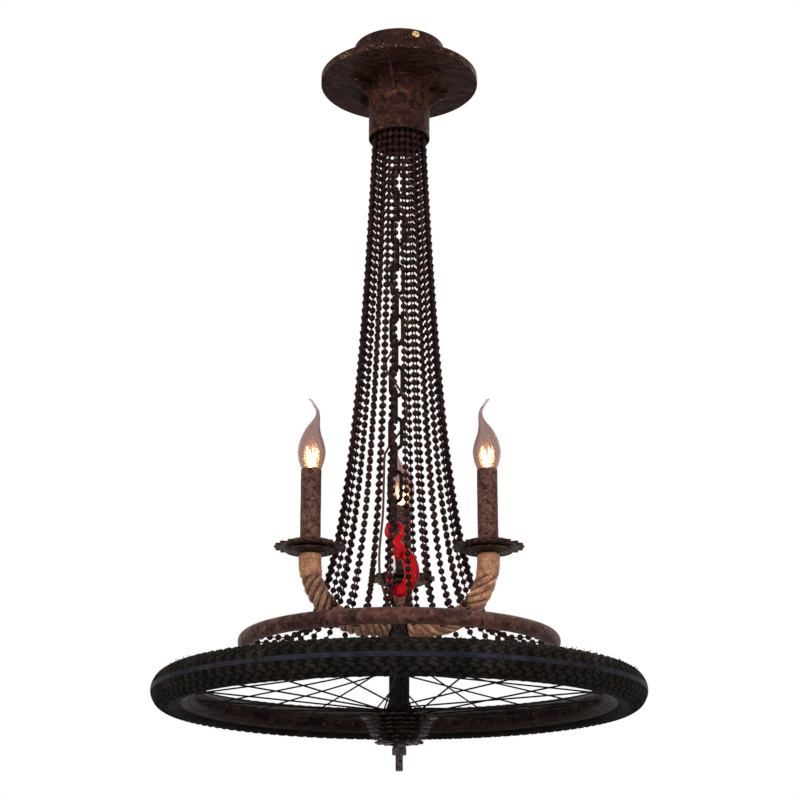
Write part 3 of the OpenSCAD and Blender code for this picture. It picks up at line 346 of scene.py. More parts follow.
M_COG = aged("cog_paint", (0.009, 0.006, 0.006), (0.024, 0.014, 0.012), (0.055, 0.033, 0.027), 110, 0.45,
             (0.22, 0.16, 0.12), (0.35, 0.6), 0.3)
M_DARK = aged("dark_metal", (0.006, 0.005, 0.005), (0.016, 0.012, 0.011), (0.035, 0.026, 0.022), 130, 0.45,
              (0.16, 0.12, 0.10), (0.35, 0.6), 0.3)
M_HUB = aged("hub_paint", (0.004, 0.003, 0.003), (0.010, 0.007, 0.006), (0.026, 0.017, 0.013), 130, 0.45,
             (0.16, 0.12, 0.10), (0.4, 0.6), 0.1, shine=0.02)
M_AXLE = aged("axle_metal", (0.020, 0.015, 0.013), (0.050, 0.039, 0.036), (0.13, 0.105, 0.095), 160, 0.42,
              (0.5, 0.44, 0.38), (0.3, 0.5), 0.6)
M_SPOKE = plain("spoke_black", (0.004, 0.0035, 0.0035), 0.5, shine=0.02)
M_BRASS = plain("brass", (0.62, 0.42, 0.17), 0.32, 0.9, 0.2)
M_ZINC = plain("zinc", (0.74, 0.75, 0.77), 0.4, 0.3, 0.08)
M_STEEL = plain("steel", (0.45, 0.45, 0.46), 0.35, 0.9, 0.12)
M_IVORY = plain("holder_plastic", (0.75, 0.73, 0.66), 0.5)
M_CABLE = plain("cable_cloth", (0.10, 0.05, 0.028), 0.8, 0, 0.3, 900, 0.0002)


def red_enamel():
    """The hook's glossy red, with small dark chips."""
    m, tree, shader = new_material("red_enamel")
    base = ramp(tree, noise(tree, 40, 3), [(0.35, (0.48, 0.0, 0.002)), (0.65, (0.74, 0.0, 0.006))])
    chips = ramp(tree, noise(tree, 260, 4, 0.7), [(0.70, grey(0)), (0.73, grey(1))])
    put(tree, shader, {"Base Color": mix(tree, chips, base, (0.05, 0.02, 0.02)), "Roughness": 0.3,
                       "Specular IOR Level": 0.05, "Coat Weight": 0.2, "Coat Roughness": 0.05})
    bump(tree, shader, noise(tree, 130, 3), 0.0003, 0.5)
    return m


def hemp(name, shade, groove_shade_and_streaks=True):
    """Worn plant fibre; the third argument adds painted shade in the grooves between a rope's strands, and
    the streaks of its yarns.
    """
    m, tree, shader = new_material(name)
    tone = ramp(tree, noise(tree, 140, 6, 0.7),
                [(0.25, (0.15, 0.055, 0.026)), (0.45, (0.38, 0.16, 0.078)), (0.62, (0.62, 0.32, 0.175)),
                 (0.8, (0.80, 0.52, 0.33))])
    stops = [(0.32, grey(0.45 * shade)), (0.68, grey(1.3 * shade))]
    colour = multiplied(tree, tone, ramp(tree, noise(tree, 620, 5, 0.7, (1, 1, 0.4)), stops))
    if groove_shade_and_streaks:
        stops = [(0.15, (0.36, 0.28, 0.24)), (0.5, grey(0.95)), (0.85, (1.9, 1.95, 2.0))]
        colour = multiplied(tree, colour, ramp(tree, stored(tree, "yarn"), stops))
        # Painted shade: darker the deeper a vertex lies under the rope's outer skin, in the grooves between
        # strands.
        painted_groove_shade = ramp(tree, stored(tree, "skin"), [(0.78, grey(0.75)), (0.94, grey(0))])
        colour = mix(tree, painted_groove_shade, colour, (0.17 * shade, 0.062 * shade, 0.028 * shade))
    put(tree, shader, {"Base Color": colour, "Roughness": 0.85, "Sheen Weight": 0.25})
    bump(tree, shader, noise(tree, 900, 4, 0.6, (1, 1, 0.3)), 0.0004, 0.8)
    return m


def rubber(name, low, mid, high):
    """Dull rubber with lighter dust on it."""
    m, tree, shader = new_material(name)
    base = ramp(tree, noise(tree, 26, 6, 0.7), [(0.35, low), (0.55, mid), (0.72, high)])
    dust = ramp(tree, noise(tree, 190, 5, 0.7), [(0.55, grey(0)), (0.8, grey(0.5))])
    gloss = ramp(tree, noise(tree, 60, 4), [(0.3, grey(0.55)), (0.7, grey(0.8))])
    put(tree, shader, {"Base Color": mix(tree, dust, base, high), "Roughness": gloss,
                       "Specular IOR Level": 0.01})
    bump(tree, shader, noise(tree, 320, 5), 0.0003, 0.6)
    return m


def bulb_glass():
    """Clear glass, darker toward its edges, with a warm glow of its own near the filament's height that is
    painted light.
    """
    m, tree, shader = new_material("bulb_glass")
    level = height_share(tree, -0.612, -0.565)
    facing = tree.nodes.new("ShaderNodeLayerWeight")
    facing.inputs["Blend"].default_value = 0.5
    stops = [(0, (0.54, 0.41, 0.38)), (0.5, (0.47, 0.36, 0.34)), (0.8, (0.32, 0.24, 0.24)),
             (1, (0.1, 0.07, 0.08))]
    tint = ramp(tree, facing.outputs["Facing"], stops)
    # Painted light: the glass gives a warm glow by height, strongest near the filament.
    painted_glow = ramp(tree, level, [(0, (0.30, 0.11, 0.04)), (0.5, (0.20, 0.07, 0.025)), (0.9, (0, 0, 0))])
    put(tree, shader, {"Base Color": tint, "Emission Color": painted_glow, "Emission Strength": 0.13,
                       "Roughness": 0.06, "IOR": 1.45, "Transmission Weight": 1})
    return m


def glow(name, colour, strength):
    """A surface that gives light."""
    m, tree, shader = new_material(name)
    put(tree, shader, {"Base Color": (*colour, 1), "Emission Color": (*colour, 1),
                       "Emission Strength": strength})
    return m


def painted_glow_shell():
    """A shell of painted glow round the filament, no real part: it gives warm light of its own, brightest at
    the loops, clear above and below.
    """
    m, tree, shader = new_material("painted_glow_shell")
    level = height_share(tree, -0.616, -0.574)
    light = ramp(tree, level, [(0, (0.8, 0.40, 0.20)), (0.5, (1, 0.70, 0.40)), (1, (0.7, 0.30, 0.11))])
    amount = ramp(tree, level, [(0, grey(0.08)), (0.45, grey(0.22)), (0.75, grey(0.16)), (1, grey(0))])
    put(tree, shader, {"Base Color": light, "Emission Color": light, "Emission Strength": 0.9,
                       "Roughness": 0.4, "Alpha": amount})
    return m


# Material of the painted glow round each filament.
M_PAINTED_GLOW_SHELL = painted_glow_shell()
M_WORN = plain("worn_steel", (0.36, 0.32, 0.31), 0.4, 0.3, 0.5, 900)
M_RED = red_enamel()
M_HEMP = hemp("hemp", 0.9)
# The left rope's hemp: a darker copy of the same fibre, which is painted shade.
M_HEMP_PAINTED_SHADE = hemp("hemp_painted_shade", 0.58)
M_TWINE = hemp("hemp_twine", 1.12, False)
# Bright bare metal for the chips; some of them are painted glints.
M_CHIP = plain("bare_spots_and_glints", (0.72, 0.50, 0.29), 0.5, 0, 0.3, 900)
M_TYRE = rubber("tyre_rubber", (0.003, 0.003, 0.003), (0.007, 0.0065, 0.006), (0.013, 0.010, 0.009))
M_TREAD = rubber("tread_rubber", (0.008, 0.0073, 0.006), (0.019, 0.0165, 0.014), (0.041, 0.033, 0.025))
# The band's lighter bluish grey is a painted reflection of the light from above.
M_BAND_PAINTED_REFLECTION = plain("tyre_band", (0.018, 0.019, 0.027), 0.5, 0, 0.4, 60, 0.0002, 0.02)
M_NIPPLE = plain("nipple_black", (0.012, 0.009, 0.008), 0.5, shine=0.03)
M_GLASS = bulb_glass()
M_LIT = glow("lit_filament", (1.0, 0.76, 0.46), 24)
# The glass stem glows orange of its own: painted light, as the stem is no lamp.
M_STEM_PAINTED_GLOW = glow("stem_painted_glow", (1.0, 0.62, 0.30), 9)


def set_material(material, *names):
    for name in names:
        obj = nodes[name]
        obj.data.materials.clear()
        obj.data.materials.append(material)


set_material(M_CANOPY, "canopy_cup", "flange_pan", "neck_tube", "gussets")
set_material(M_STEEL, "ceiling_crossbar", "canopy_fasteners", "latch_spring", "hub_balls")
set_material(M_BRASS, "side_screws", "holder_pipes", "holder_nuts", "bulb_caps")
set_material(M_IVORY, "terminal_block", "lampholders")
set_material(M_DARK, "strand_plate", "hanger_bolt", "suspension_chain", "center_post",
             "arm_tube_left", "arm_tube_right", "arm_tube_back", "freewheel_body", "freewheel_core")
set_material(M_RING, "ring_tube")
set_material(M_SLEEVE, "sleeve_left", "sleeve_right", "sleeve_back")
set_material(M_PAN, "pan_discs", "pan_rings", "pan_sprocket_left", "pan_sprocket_right", "pan_sprocket_back")
set_material(M_SPOKE, "spokes", "spoke_elbows", "spoke_nipples", "inner_tube")
set_material(M_RED, "latch_pin")
set_material(M_RIM, "rim")
set_material(M_HUB, "hub_shell")
set_material(M_COG, "freewheel_cogs")
set_material(M_AXLE, "hub_cones", "axle_hardware")


# The strands' curve, as in the CAD source: a catenary, level below and upright in the neck.
# It starts at the foot; the lead is the level run from there out into the ring's tube
CATENARY = 30 * MM
FOOT_R = 148.6 * MM
RING_Z = -818 * MM
LEAD = (184.2 - 148.6) * MM
MOUTH_Z = -140 * MM
TOP_Z = -68.05 * MM
BEAD_R = 3.75 * MM
BEAD_WIDER = 1.06
BEAD_TILT = 0.12
BEAD_DENTS = 0.018
WIRE_R = 0.9 * MM
BEADS = 79
SIDES = ("left", "right", "back")
ARM_TURNS = [210, 330, 88.5]
ARM_GAP = 25
STRANDS = 8
MOUTH_S = CATENARY * math.sqrt((1 + (MOUTH_Z - RING_Z) / CATENARY) ** 2 - 1)
TOP_S = MOUTH_S + TOP_Z - MOUTH_Z
PITCH = (TOP_S + LEAD) / (BEADS - 1)


def strand_point(s):
    """Radius and height of the curve, s metres from its foot; below 0 it runs level."""
    if s < 0:
        return FOOT_R - s, RING_Z
    c = min(s, MOUTH_S)
    u = math.asinh(c / CATENARY)
    return FOOT_R - CATENARY * u, RING_Z + CATENARY * (math.cosh(u) - 1) + max(0, s - MOUTH_S)


def bead_mesh():
    """A bead with a slight seam round its middle."""
    sides = 12
    rings = 7
    seam = 0.965
    verts = [(0, 0, -1)]
    for i in range(1, rings + 1):
        lat = -math.pi / 2 + math.pi * i / (rings + 1)
        r, z = math.cos(lat), math.sin(lat)
        if i == (rings + 1) // 2:
            r *= seam
        verts += [(r * math.cos(TAU * k / sides), r * math.sin(TAU * k / sides), z) for k in range(sides)]
    verts.append((0, 0, 1))
    faces = []
    for k in range(sides):
        m = (k + 1) % sides
        faces.append((0, 1 + m, 1 + k))
        for i in range(rings - 1):
            a = 1 + i * sides
            faces.append((a + k, a + m, a + sides + m, a + sides + k))
        a = 1 + (rings - 1) * sides
        faces.append((a + k, a + m, len(verts) - 1))
    return np.array(verts), faces


def strand_group(name, node, side):
    """The strands between one arm and the next: beads a little askew and uneven, on a wire."""
    ball, ball_faces = bead_mesh()
    size = BEAD_R * np.array([BEAD_WIDER, BEAD_WIDER, 1])
    start = ARM_TURNS[side]
    span = (ARM_TURNS[(side + 1) % 3] - start) % 360 - ARM_GAP
    shape = Shape()
    for k in range(STRANDS):
        turn = math.radians(start + ARM_GAP / 2 + k * span / (STRANDS - 1))
        out = np.array([math.cos(turn), math.sin(turn), 0])
        across = np.array([-math.sin(turn), math.cos(turn), 0])
        for i in range(BEADS):
            s = -LEAD + i * PITCH
            r, z = strand_point(s)
            r2, z2 = strand_point(s + 0.001)
            axis = (r2 - r) * out + np.array([0, 0, z2 - z])
            axis /= np.linalg.norm(axis)
            side_axis = np.cross(axis, across)
            tilt = rng.normal(0, BEAD_TILT, 3)
            axis = axis + tilt[0] * across + tilt[1] * side_axis
            axis /= np.linalg.norm(axis)
            x = np.cross(across, axis)
            x /= np.linalg.norm(x)
            y = np.cross(axis, x)
            dents = 1 + rng.normal(0, BEAD_DENTS, (len(ball), 1))
            local = ball * size * dents
            verts = r * out + np.array([0, 0, z]) + local[:, :1] * x + local[:, 1:2] * y + local[:, 2:] * axis
            shape.add([tuple(v) for v in verts], ball_faces)
        path = []
        for i in range(2 * BEADS):
            r, z = strand_point(-LEAD + (i / 2 - 0.4) * PITCH)
            path.append(r * out + np.array([0, 0, z]))
        shape.add(*tube(path, WIRE_R, 6))
    obj = shape.make(name, M_BEAD)
    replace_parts(obj, node)


strand_group("beads_front", "strands_front", 0)
strand_group("beads_right", "strands_right", 1)
strand_group("beads_left", "strands_left", 2)


# Arms: laid rope over each tube, with a whipping of thin cord at the top
ARM_R = 125 * MM
BEND = 73 * MM
ARM_Z = -800 * MM
BEND_Z = ARM_Z + BEND
POST_R = 19 * MM
ROPE_R = 13.2 * MM
WHIP_R = 14.2 * MM
WHIP_TOP = -718.3 * MM
# How far down the bend, in degrees, the whipping reaches, and how far the rope runs in under it
WHIP_TURN = 14.4
WHIP_LAP = 4


def arm_point(s, top=BEND_Z):
    """A point on an arm's line, s metres down from its top: (radius, height, direction)."""
    if s < top - BEND_Z:
        return ARM_R, top - s, (0, -1)
    s -= top - BEND_Z
    a = s / BEND
    if a < math.pi / 2:
        return ARM_R - BEND + BEND * math.cos(a), BEND_Z - BEND * math.sin(a), (-math.sin(a), -math.cos(a))
    s -= BEND * math.pi / 2
    return ARM_R - BEND - s, ARM_Z, (-1, 0)


ROPE_LENGTH = BEND * math.pi / 2 + ARM_R - BEND - POST_R
# Length of one turn of a strand, its sign the way round, and the number of strands
ROPE_LAYS = {"left": (-0.050, 5), "right": (-0.070, 6), "back": (-0.060, 6)}


def laid_rope(turn, begin, end, lay, strands):
    """Strands laid round the arm's line, each with its own twisted yarns as ridges and streaks of tone."""
    step = 0.0014
    tone_step = 0.007
    yarn_twist = 5
    shape = Shape()
    yarn = []
    strand_r = ROPE_R * (0.56 - 0.04 * strands)
    orbit = ROPE_R - strand_r
    sides = 26
    yarns = 7
    count = int((end - begin) / step)
    knots = int((end - begin) / tone_step) + 3
    for j in range(strands):
        verts = []
        fat = 1 + rng.uniform(-0.05, 0.05)
        tones = rng.uniform(0, 1, (knots, sides)) * 0.8 + rng.uniform(0, 0.2, (knots, 1))
        for i in range(count + 1):
            s = begin + (end - begin) * i / count
            r, z, d = arm_point(s)
            n = np.array([-d[1], 0, d[0]])
            b = np.array([0, 1, 0])
            a = TAU * (s / lay + j / strands)
            radial = math.cos(a) * n + math.sin(a) * b
            around = -math.sin(a) * n + math.cos(a) * b
            c = np.array([r, 0, z]) + orbit * radial
            for k in range(sides):
                q = TAU * k / sides
                ridge = 0.93 + 0.07 * abs(math.sin(yarns / 2 * (q - s / lay * yarn_twist)))
                ridge += 0.015 * math.sin(17 * q + 900 * s)
                rr = min(strand_r * ridge * fat, strand_r * 1.02)
                verts.append(tuple(c + rr * (math.cos(q) * radial + 1.14 * math.sin(q) * around)))
                row = (knots - 2) * i / count
                col = (q - s / lay * yarn_twist) / TAU * sides
                k0 = math.floor(col)
                here = tones[int(row)][[k0 % sides, (k0 + 1) % sides]]
                after = tones[int(row) + 1][[k0 % sides, (k0 + 1) % sides]]
                pair = here + (after - here) * (row - int(row))
                yarn.append(pair[0] + (pair[1] - pair[0]) * (col - k0))
        shape.add(verts, ring_faces(count + 1, sides))
    shape.verts = turned(shape.verts, turn)
    return shape, yarn


def hairs(shape, turn, count, begin, end):
    """Loose fibres that stand off the rope."""
    fine = Shape()
    for i in range(count):
        s = rng.uniform(begin, end)
        r, z, d = arm_point(s)
        n = np.array([-d[1], 0, d[0]])
        b = np.array([0, 1, 0])
        t = np.array([d[0], 0, d[1]])
        a = rng.uniform(0, TAU)
        radial = math.cos(a) * n + math.sin(a) * b
        p = np.array([r, 0, z]) + radial * ROPE_R * 0.9
        along = t * rng.uniform(-1, 1) + (-math.sin(a) * n + math.cos(a) * b) * rng.uniform(-1, 1)
        length = rng.uniform(0.002, 0.0075)
        middle = p + radial * length * 0.3 + along * length * 0.4
        path = [p, middle, p + radial * length * 0.45 + along * length]
        fine.add(*tube(path, [0.00012, 0.0001, 0.00006], 3))
    shape.add(turned(fine.verts, turn), fine.faces)


def mark_grooves(obj, turn):
    """Stores how deep each vertex lies under the rope's outer skin, for the painted shade in its grooves."""
    verts = np.array([tuple(v.co) for v in obj.data.vertices])
    verts = np.array(turned(verts, -turn))
    line = np.array([arm_point(s)[:2] for s in np.linspace(0, ROPE_LENGTH, 240)])
    away = np.hypot(verts[:, None, 0] - line[None, :, 0], verts[:, None, 2] - line[None, :, 1])
    depth = np.hypot(away.min(axis=1), verts[:, 1]) / ROPE_R
    layer = obj.data.attributes.new("skin", "FLOAT", "POINT")
    layer.data.foreach_set("value", depth.astype(np.float32))


for side, turn in zip(SIDES, ARM_TURNS):
    rope, yarn = laid_rope(turn, math.radians(WHIP_TURN - WHIP_LAP) * BEND, ROPE_LENGTH, *ROPE_LAYS[side])
    hairs(rope, turn, 300, math.radians(WHIP_TURN) * BEND, ROPE_LENGTH * 0.85)
    # The left rope takes the darker copy of the hemp: painted shade.
    obj = rope.make("rope_" + side, M_HEMP_PAINTED_SHADE if side == "left" else M_HEMP)
    mark_grooves(obj, turn)
    # The hairs come after the strands and have one light tone
    hair_tones = [0.8] * (len(obj.data.vertices) - len(yarn))
    streaks = obj.data.attributes.new("yarn", "FLOAT", "POINT")
    streaks.data.foreach_set("value", yarn + hair_tones)
    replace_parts(obj, "arm_rope_" + side)


def whipping():
    """Close turns of thin cord round each rope's upper end."""
    shape = Shape()
    top = WHIP_TOP - 0.0008
    cord = 1.15 * MM
    for turn in ARM_TURNS:
        length = top - BEND_Z + math.radians(WHIP_TURN) * BEND
        turns = int(length / (2 * cord))
        steps = 28
        path = []
        for i in range(turns * steps + 1):
            s = cord + (length - 2 * cord) * i / (turns * steps)
            r, z, d = arm_point(s, top)
            n = np.array([-d[1], 0, d[0]])
            a = TAU * i / steps
            wobble = 0.15 * MM * math.sin(i * 0.37) + 0.12 * MM * math.sin(i * 1.3)
            rr = WHIP_R - cord - 0.2 * MM + wobble - 0.5 * MM * (1 - min(1, s / (3 * cord)))
            path.append(np.array([r, 0, z]) + rr * (math.cos(a) * n + math.sin(a) * np.array([0, 1, 0])))
        v, f = tube(path, cord * 1.05, 7)
        shape.add(turned(v, turn), f)
        core = []
        for i in range(9):
            r, z, d = arm_point(length * i / 8, top)
            core.append((r, 0, z))
        v, f = tube(core, WHIP_R - 1.6 * MM, 40)
        shape.add(turned(v, turn), f)
    obj = shape.make("whippings", M_TWINE)
    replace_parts(obj, "rope_whippings")


whipping()


# Bulbs with bent tips, lit
SLEEVE_TOP = -612.3 * MM
BULB_R = 17.5
# The bulb's outline: height above the sleeve's top in mm, and share of its radius
BULB_LINE = [(-10.8, 0.42), (-6, 0.5), (-1, 0.61), (0.8, 0.685), (3, 0.763), (11.5, 0.92), (22.3, 1),
             (32.9, 0.9), (39, 0.795)]
# The bent tip: height, how far it leans, radius, all in mm
TIP_LINE = [(41, 0.1, 13.1), (47.4, 0.5, 10.7), (54.5, 2, 8.2), (61.6, 4.7, 5.3), (68.8, 6.9, 3.1),
            (76, 6.3, 2.2), (83.2, 2.4, 2), (90.2, -2.4, 1.9)]
GLASS_WALL = 0.8 * MM
# Above this height the tip is solid glass
SOLID_FROM = 0.085


def candle(turn, z=0):
    """The point at height z on the axis of the candle on one arm."""
    a = math.radians(turn)
    return np.array([ARM_R * math.cos(a), ARM_R * math.sin(a), z])


def bulb(name, turn, lean, node):
    """A hollow glass shell; lean is the direction that its tip bends to."""
    line = [(z, 0.0, share * BULB_R) for z, share in BULB_LINE] + TIP_LINE
    rings = smooth_path(line, 4) * MM
    sides = 40
    centre = candle(turn, SLEEVE_TOP)
    way = np.array([math.cos(math.radians(lean)), math.sin(math.radians(lean)), 0])
    ang = np.arange(sides) * TAU / sides

    def skin(rows, inset):
        verts = []
        for h, off, r in rows:
            rr = r - min(inset, r * 0.45)
            for q in ang:
                verts.append(tuple(centre + way * off + np.array([rr * math.cos(q), rr * math.sin(q), h])))
        return verts

    outer = [tuple(r) for r in rings]
    last = outer[-1]
    for dz, share in ((0.7, 0.8), (1.2, 0.45)):
        outer.append((last[0] + dz * MM * 0.5, last[1] - dz * MM * 0.6, last[2] * share))
    inner = [r for r in outer if r[0] < SOLID_FROM][::-1]
    verts = skin(inner, GLASS_WALL) + skin(outer, 0)
    obj = make(name, verts, ring_faces(len(inner) + len(outer), sides), M_GLASS)
    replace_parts(obj, node)


for side, turn, lean in zip(SIDES, ARM_TURNS, (0, 180, 180)):
    bulb("bulb_" + side, turn, lean, "bulb_glass_" + side)


def filaments():
    """A glass stem with a painted glow of its own, a crown of glowing loops, and a shell of painted glow
    round them in each bulb.
    """
    wires = Shape()
    stems = Shape()
    glow_shells = Shape()
    loops = 8
    stem = [(0.0004, -0.0105), (0.0036, -0.0105), (0.0030, -0.004), (0.0020, 0.004), (0.0012, 0.008),
            (0.0004, 0.0085)]
    glow_shell_line = [(0.0052, -0.003), (0.0076, 0.004), (0.0098, 0.014), (0.0096, 0.023), (0.0070, 0.031),
             (0.0026, 0.039)]
    skin = glow_shell_line + [(r - 0.0003, z - 0.0001) for r, z in glow_shell_line[::-1]]
    for turn in ARM_TURNS:
        centre = candle(turn, SLEEVE_TOP)
        stems.add(*lathe(stem, 20, closed=False, centre=centre))
        glow_shells.add(*lathe(skin, 28, centre=centre))
        points = []
        for i in range(loops * 2 + 1):
            q = TAU * i / (loops * 2)
            r, z = (0.0036, 0.004) if i % 2 == 0 else (0.0066, 0.023 + 0.004 * (i % 4 == 1))
            points.append(centre + np.array([r * math.cos(q), r * math.sin(q), z]))
        wires.add(*tube(smooth_path(points, 6), 0.00042, 6))
    obj = wires.make("filament_loops", M_LIT)
    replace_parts(obj, "bulb_filaments")
    obj = stems.make("filament_stems", M_STEM_PAINTED_GLOW)
    # A see-through shell round each filament that glows: painted light, no real part.
    obj = glow_shells.make("painted_glow_shells", M_PAINTED_GLOW_SHELL)


filaments()


# The hook: forged body, eye, and the lug that holds the latch's pin, in mm
HOOK_EYE = (-5.6, -675.7)
HOOK_EYE_R = 9.5
HOOK_BAR_R = 3.5
LATCH_PIN = (-1.5, -704.7)
LUG_R = 4.0
LUG_HALF = 4.2
# Middle line: across, height from the eye, half width
HOOK_LINE = [(-5.6, -8, 4.2), (-4, -15, 6.2), (1.5, -22, 7.2), (8, -30, 8), (13, -38.5, 8.9),
             (15.6, -48, 9.4), (15.3, -58, 9.2), (12, -66.5, 8.7), (7.2, -72.5, 8.6),
             (1, -75.4, 8.6), (-6, -74.2, 7.2), (-10.6, -68.6, 5.2), (-12.3, -62, 4),
             (-12.6, -56, 3.3), (-12.5, -53.4, 2.2)]


def hook():
    shape = Shape()
    line = smooth_path(HOOK_LINE, 6)
    p = np.array([(x, 0, HOOK_EYE[1] + z) for x, z, w in line]) * MM
    w = line[:, 2] * MM
    t = np.gradient(p, axis=0)
    t /= np.linalg.norm(t, axis=1)[:, None]
    n = np.stack([t[:, 2], np.zeros(len(t)), -t[:, 0]], axis=1)
    sides = 28
    verts = []
    for i in range(len(p)):
        for k in range(sides):
            q = TAU * k / sides
            c, s = math.cos(q), math.sin(q)
            verts.append(tuple(p[i] + w[i] * np.sign(c) * abs(c) ** 0.9 * n[i]
                               + w[i] * 0.78 * np.sign(s) * abs(s) ** 0.85 * np.array([0, 1, 0])))
    shape.add(verts, ring_faces(len(p), sides))
    centre = np.array([HOOK_EYE[0], 0, HOOK_EYE[1]]) * MM
    across = np.array([1, 0, 0])
    axis = np.array([0, 1, 0])
    shape.add(*bar_ring(centre, across, axis, HOOK_EYE_R * MM, HOOK_BAR_R * MM, 48, 20))
    sides = 32
    r = LUG_R * MM
    verts = []
    for y in (-LUG_HALF * MM, LUG_HALF * MM):
        for k in range(sides):
            q = TAU * k / sides
            verts.append((LATCH_PIN[0] * MM + r * math.cos(q), y, LATCH_PIN[1] * MM + r * math.sin(q)))
    shape.add(verts, ring_faces(2, sides))
    obj = shape.make("hook_forging", M_RED)
    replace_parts(obj, "hook_body")


hook()


# The hook's latch: two ears on the pin, joined by a web; the hook's red runs over the ears' upper ends.
# Outlines in mm from the pin; the sheet is thinner than its red tabs, so that no two faces fall together
LATCH_SIDE = 9.5
LATCH_SHEET = 1.5
LATCH_THINNER = 0.1
LATCH_TAB = [(-6.2, 1.5), (-4, 3.6), (-1, 4.5), (2.2, 3.9), (4.2, 1.4), (4.2, -1.4), (2.4, -3.8),
             (-1.2, -6.2), (-4.2, -7)]
LATCH_WING = [(-6.4, 0.5), (-4.2, -6.8), (-3.2, -14), (-3.0, -22.4), (-12.0, -21.6), (-9.4, -8)]
LATCH_WEB = [(-6.4, -5), (-4.9, -5), (-6.1, -26.5), (-7.6, -26.5)]


def plate(shape, outline, y_front, y_back):
    """A flat outline in the hook's plane, given thickness along Y."""
    x0, z0 = LATCH_PIN
    verts = [((x0 + x) * MM, y * MM, (z0 + z) * MM) for y in (y_front, y_back) for x, z in outline]
    count = len(outline)
    faces = [tuple(range(count)), tuple(range(count, 2 * count))[::-1]]
    for k in range(count):
        m = (k + 1) % count
        faces.append((m, k, count + k, count + m))
    shape.add(verts, faces)


def latch():
    tabs = Shape()
    sheet = Shape()
    for side in (-1, 1):
        front = side * LATCH_SIDE
        back = side * (LATCH_SIDE - LATCH_SHEET)
        plate(tabs, LATCH_TAB, min(front, back), max(front, back))
        plate(sheet, LATCH_WING, min(front, back) + LATCH_THINNER, max(front, back) - LATCH_THINNER)
    plate(sheet, LATCH_WEB, -LATCH_SIDE, LATCH_SIDE)
    obj = sheet.make("latch_sheet", M_ZINC, "hook_latch", smooth=False)
    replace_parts(obj, "hook_latch")
    obj = tabs.make("latch_tabs", M_RED, "hook_latch", smooth=False)


latch()


# The eye that hangs in the hook's bowl: a ring of thin bar, its collar and its shank in the post
EYE_R = 17.5 * MM
EYE_WIRE = 2.8 * MM
BOWL_Z = -742.5 * MM
POST_TOP = -780 * MM


def eye_bolt():
    shape = Shape()
    centre = np.array([0, 0, BOWL_Z + EYE_WIRE - EYE_R])
    way = np.array([0.6, 0.8, 0])
    flat = np.array([-0.8, 0.6, 0])
    shape.add(*bar_ring(centre, way, flat, EYE_R, EYE_WIRE, 64, 16))
    collar = [(0.3, 0.2), (11.7, 0.2), (12.5, 1), (12.5, 5.4), (11.7, 6.2), (6, 6.8), (0.3, 6.8)]
    shape.add(*lathe([(r * MM, POST_TOP + z * MM) for r, z in collar], 48, closed=False))
    shank = [(0.3, -14), (4.2, -14), (5, -13), (5, 3), (0.3, 3)]
    shape.add(*lathe([(r * MM, POST_TOP + z * MM) for r, z in shank], 32, closed=False))
    obj = shape.make("eye_ring", M_DARK)
    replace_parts(obj, "eye_bolt")


eye_bolt()


# Supply cable: the same route as in the CAD source, wound round the leaning chain, in mm
CABLE_R = 1.5
WIND_TOP = -158
WIND_LOW = -579
WIND_PITCH = 125
WIND_R = 14
# Where a winding crosses the front, and where the chain starts to lean
WIND_FRONT = -362
LEAN_TOP = -103


def cable():
    start = [(35, 0, -37.1), (29, 0.5, -37), (19, 7, -36.5), (13, 12, -46), (13, 12, -60), (12.5, 11.5, -80),
             (11, 10.4, -120)]
    end = [(-19.5, -1, -612), (-20.5, -4, -655), (-24.5, -5.5, -700), (-24, -7, -732), (-18.5, -8, -756),
           (-13.5, -6.5, -771), (-12.5, -6, -781), (-12.5, -6, -790)]
    winding = []
    steps = 40
    for i in range(steps + 1):
        z = WIND_TOP + (WIND_LOW - WIND_TOP) * i / steps
        a = math.radians(270 + 360 * (WIND_FRONT - z) / WIND_PITCH)
        x = HOOK_EYE[0] * (z - LEAN_TOP) / (HOOK_EYE[1] - LEAN_TOP)
        winding.append((x + WIND_R * math.cos(a), WIND_R * math.sin(a), z))
    path = smooth_path(start + winding + end, 6) * MM
    v, f = tube(path, CABLE_R * MM, 12)
    obj = make("cable_braid", v, f, M_CABLE)
    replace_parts(obj, "supply_cable")


cable()


# Tyre: casing, smooth middle band, rows of slanted blocks, mould whiskers
WHEEL_Z = -880 * MM
TYRE_R = 279.5 * MM
CASING_R = 20.7 * MM
CASING_IN = 0.0185
CROWN = 0.0006
# The tread's rows: degrees from the middle, length, width, slant, height, shift along the run in steps
TREAD_ROWS = [(13.5, 0.0078, 0.0036, 0.3, 0.0011, 0), (28, 0.0125, 0.0048, 0.45, 0.0010, 0),
              (46, 0.0105, 0.0056, -0.5, 0.0012, 0.5), (66, 0.0085, 0.0056, 0.6, 0.0011, 0),
              (84, 0.0062, 0.0040, 0, 0.0008, 0.5)]


def tyre_point(wheel_turn, section, radius):
    """A point on the tyre; section is 0 at the outermost line and turns toward the top."""
    r = TYRE_R + radius * math.cos(section)
    return (r * math.cos(wheel_turn), r * math.sin(wheel_turn), WHEEL_Z + radius * math.sin(section))


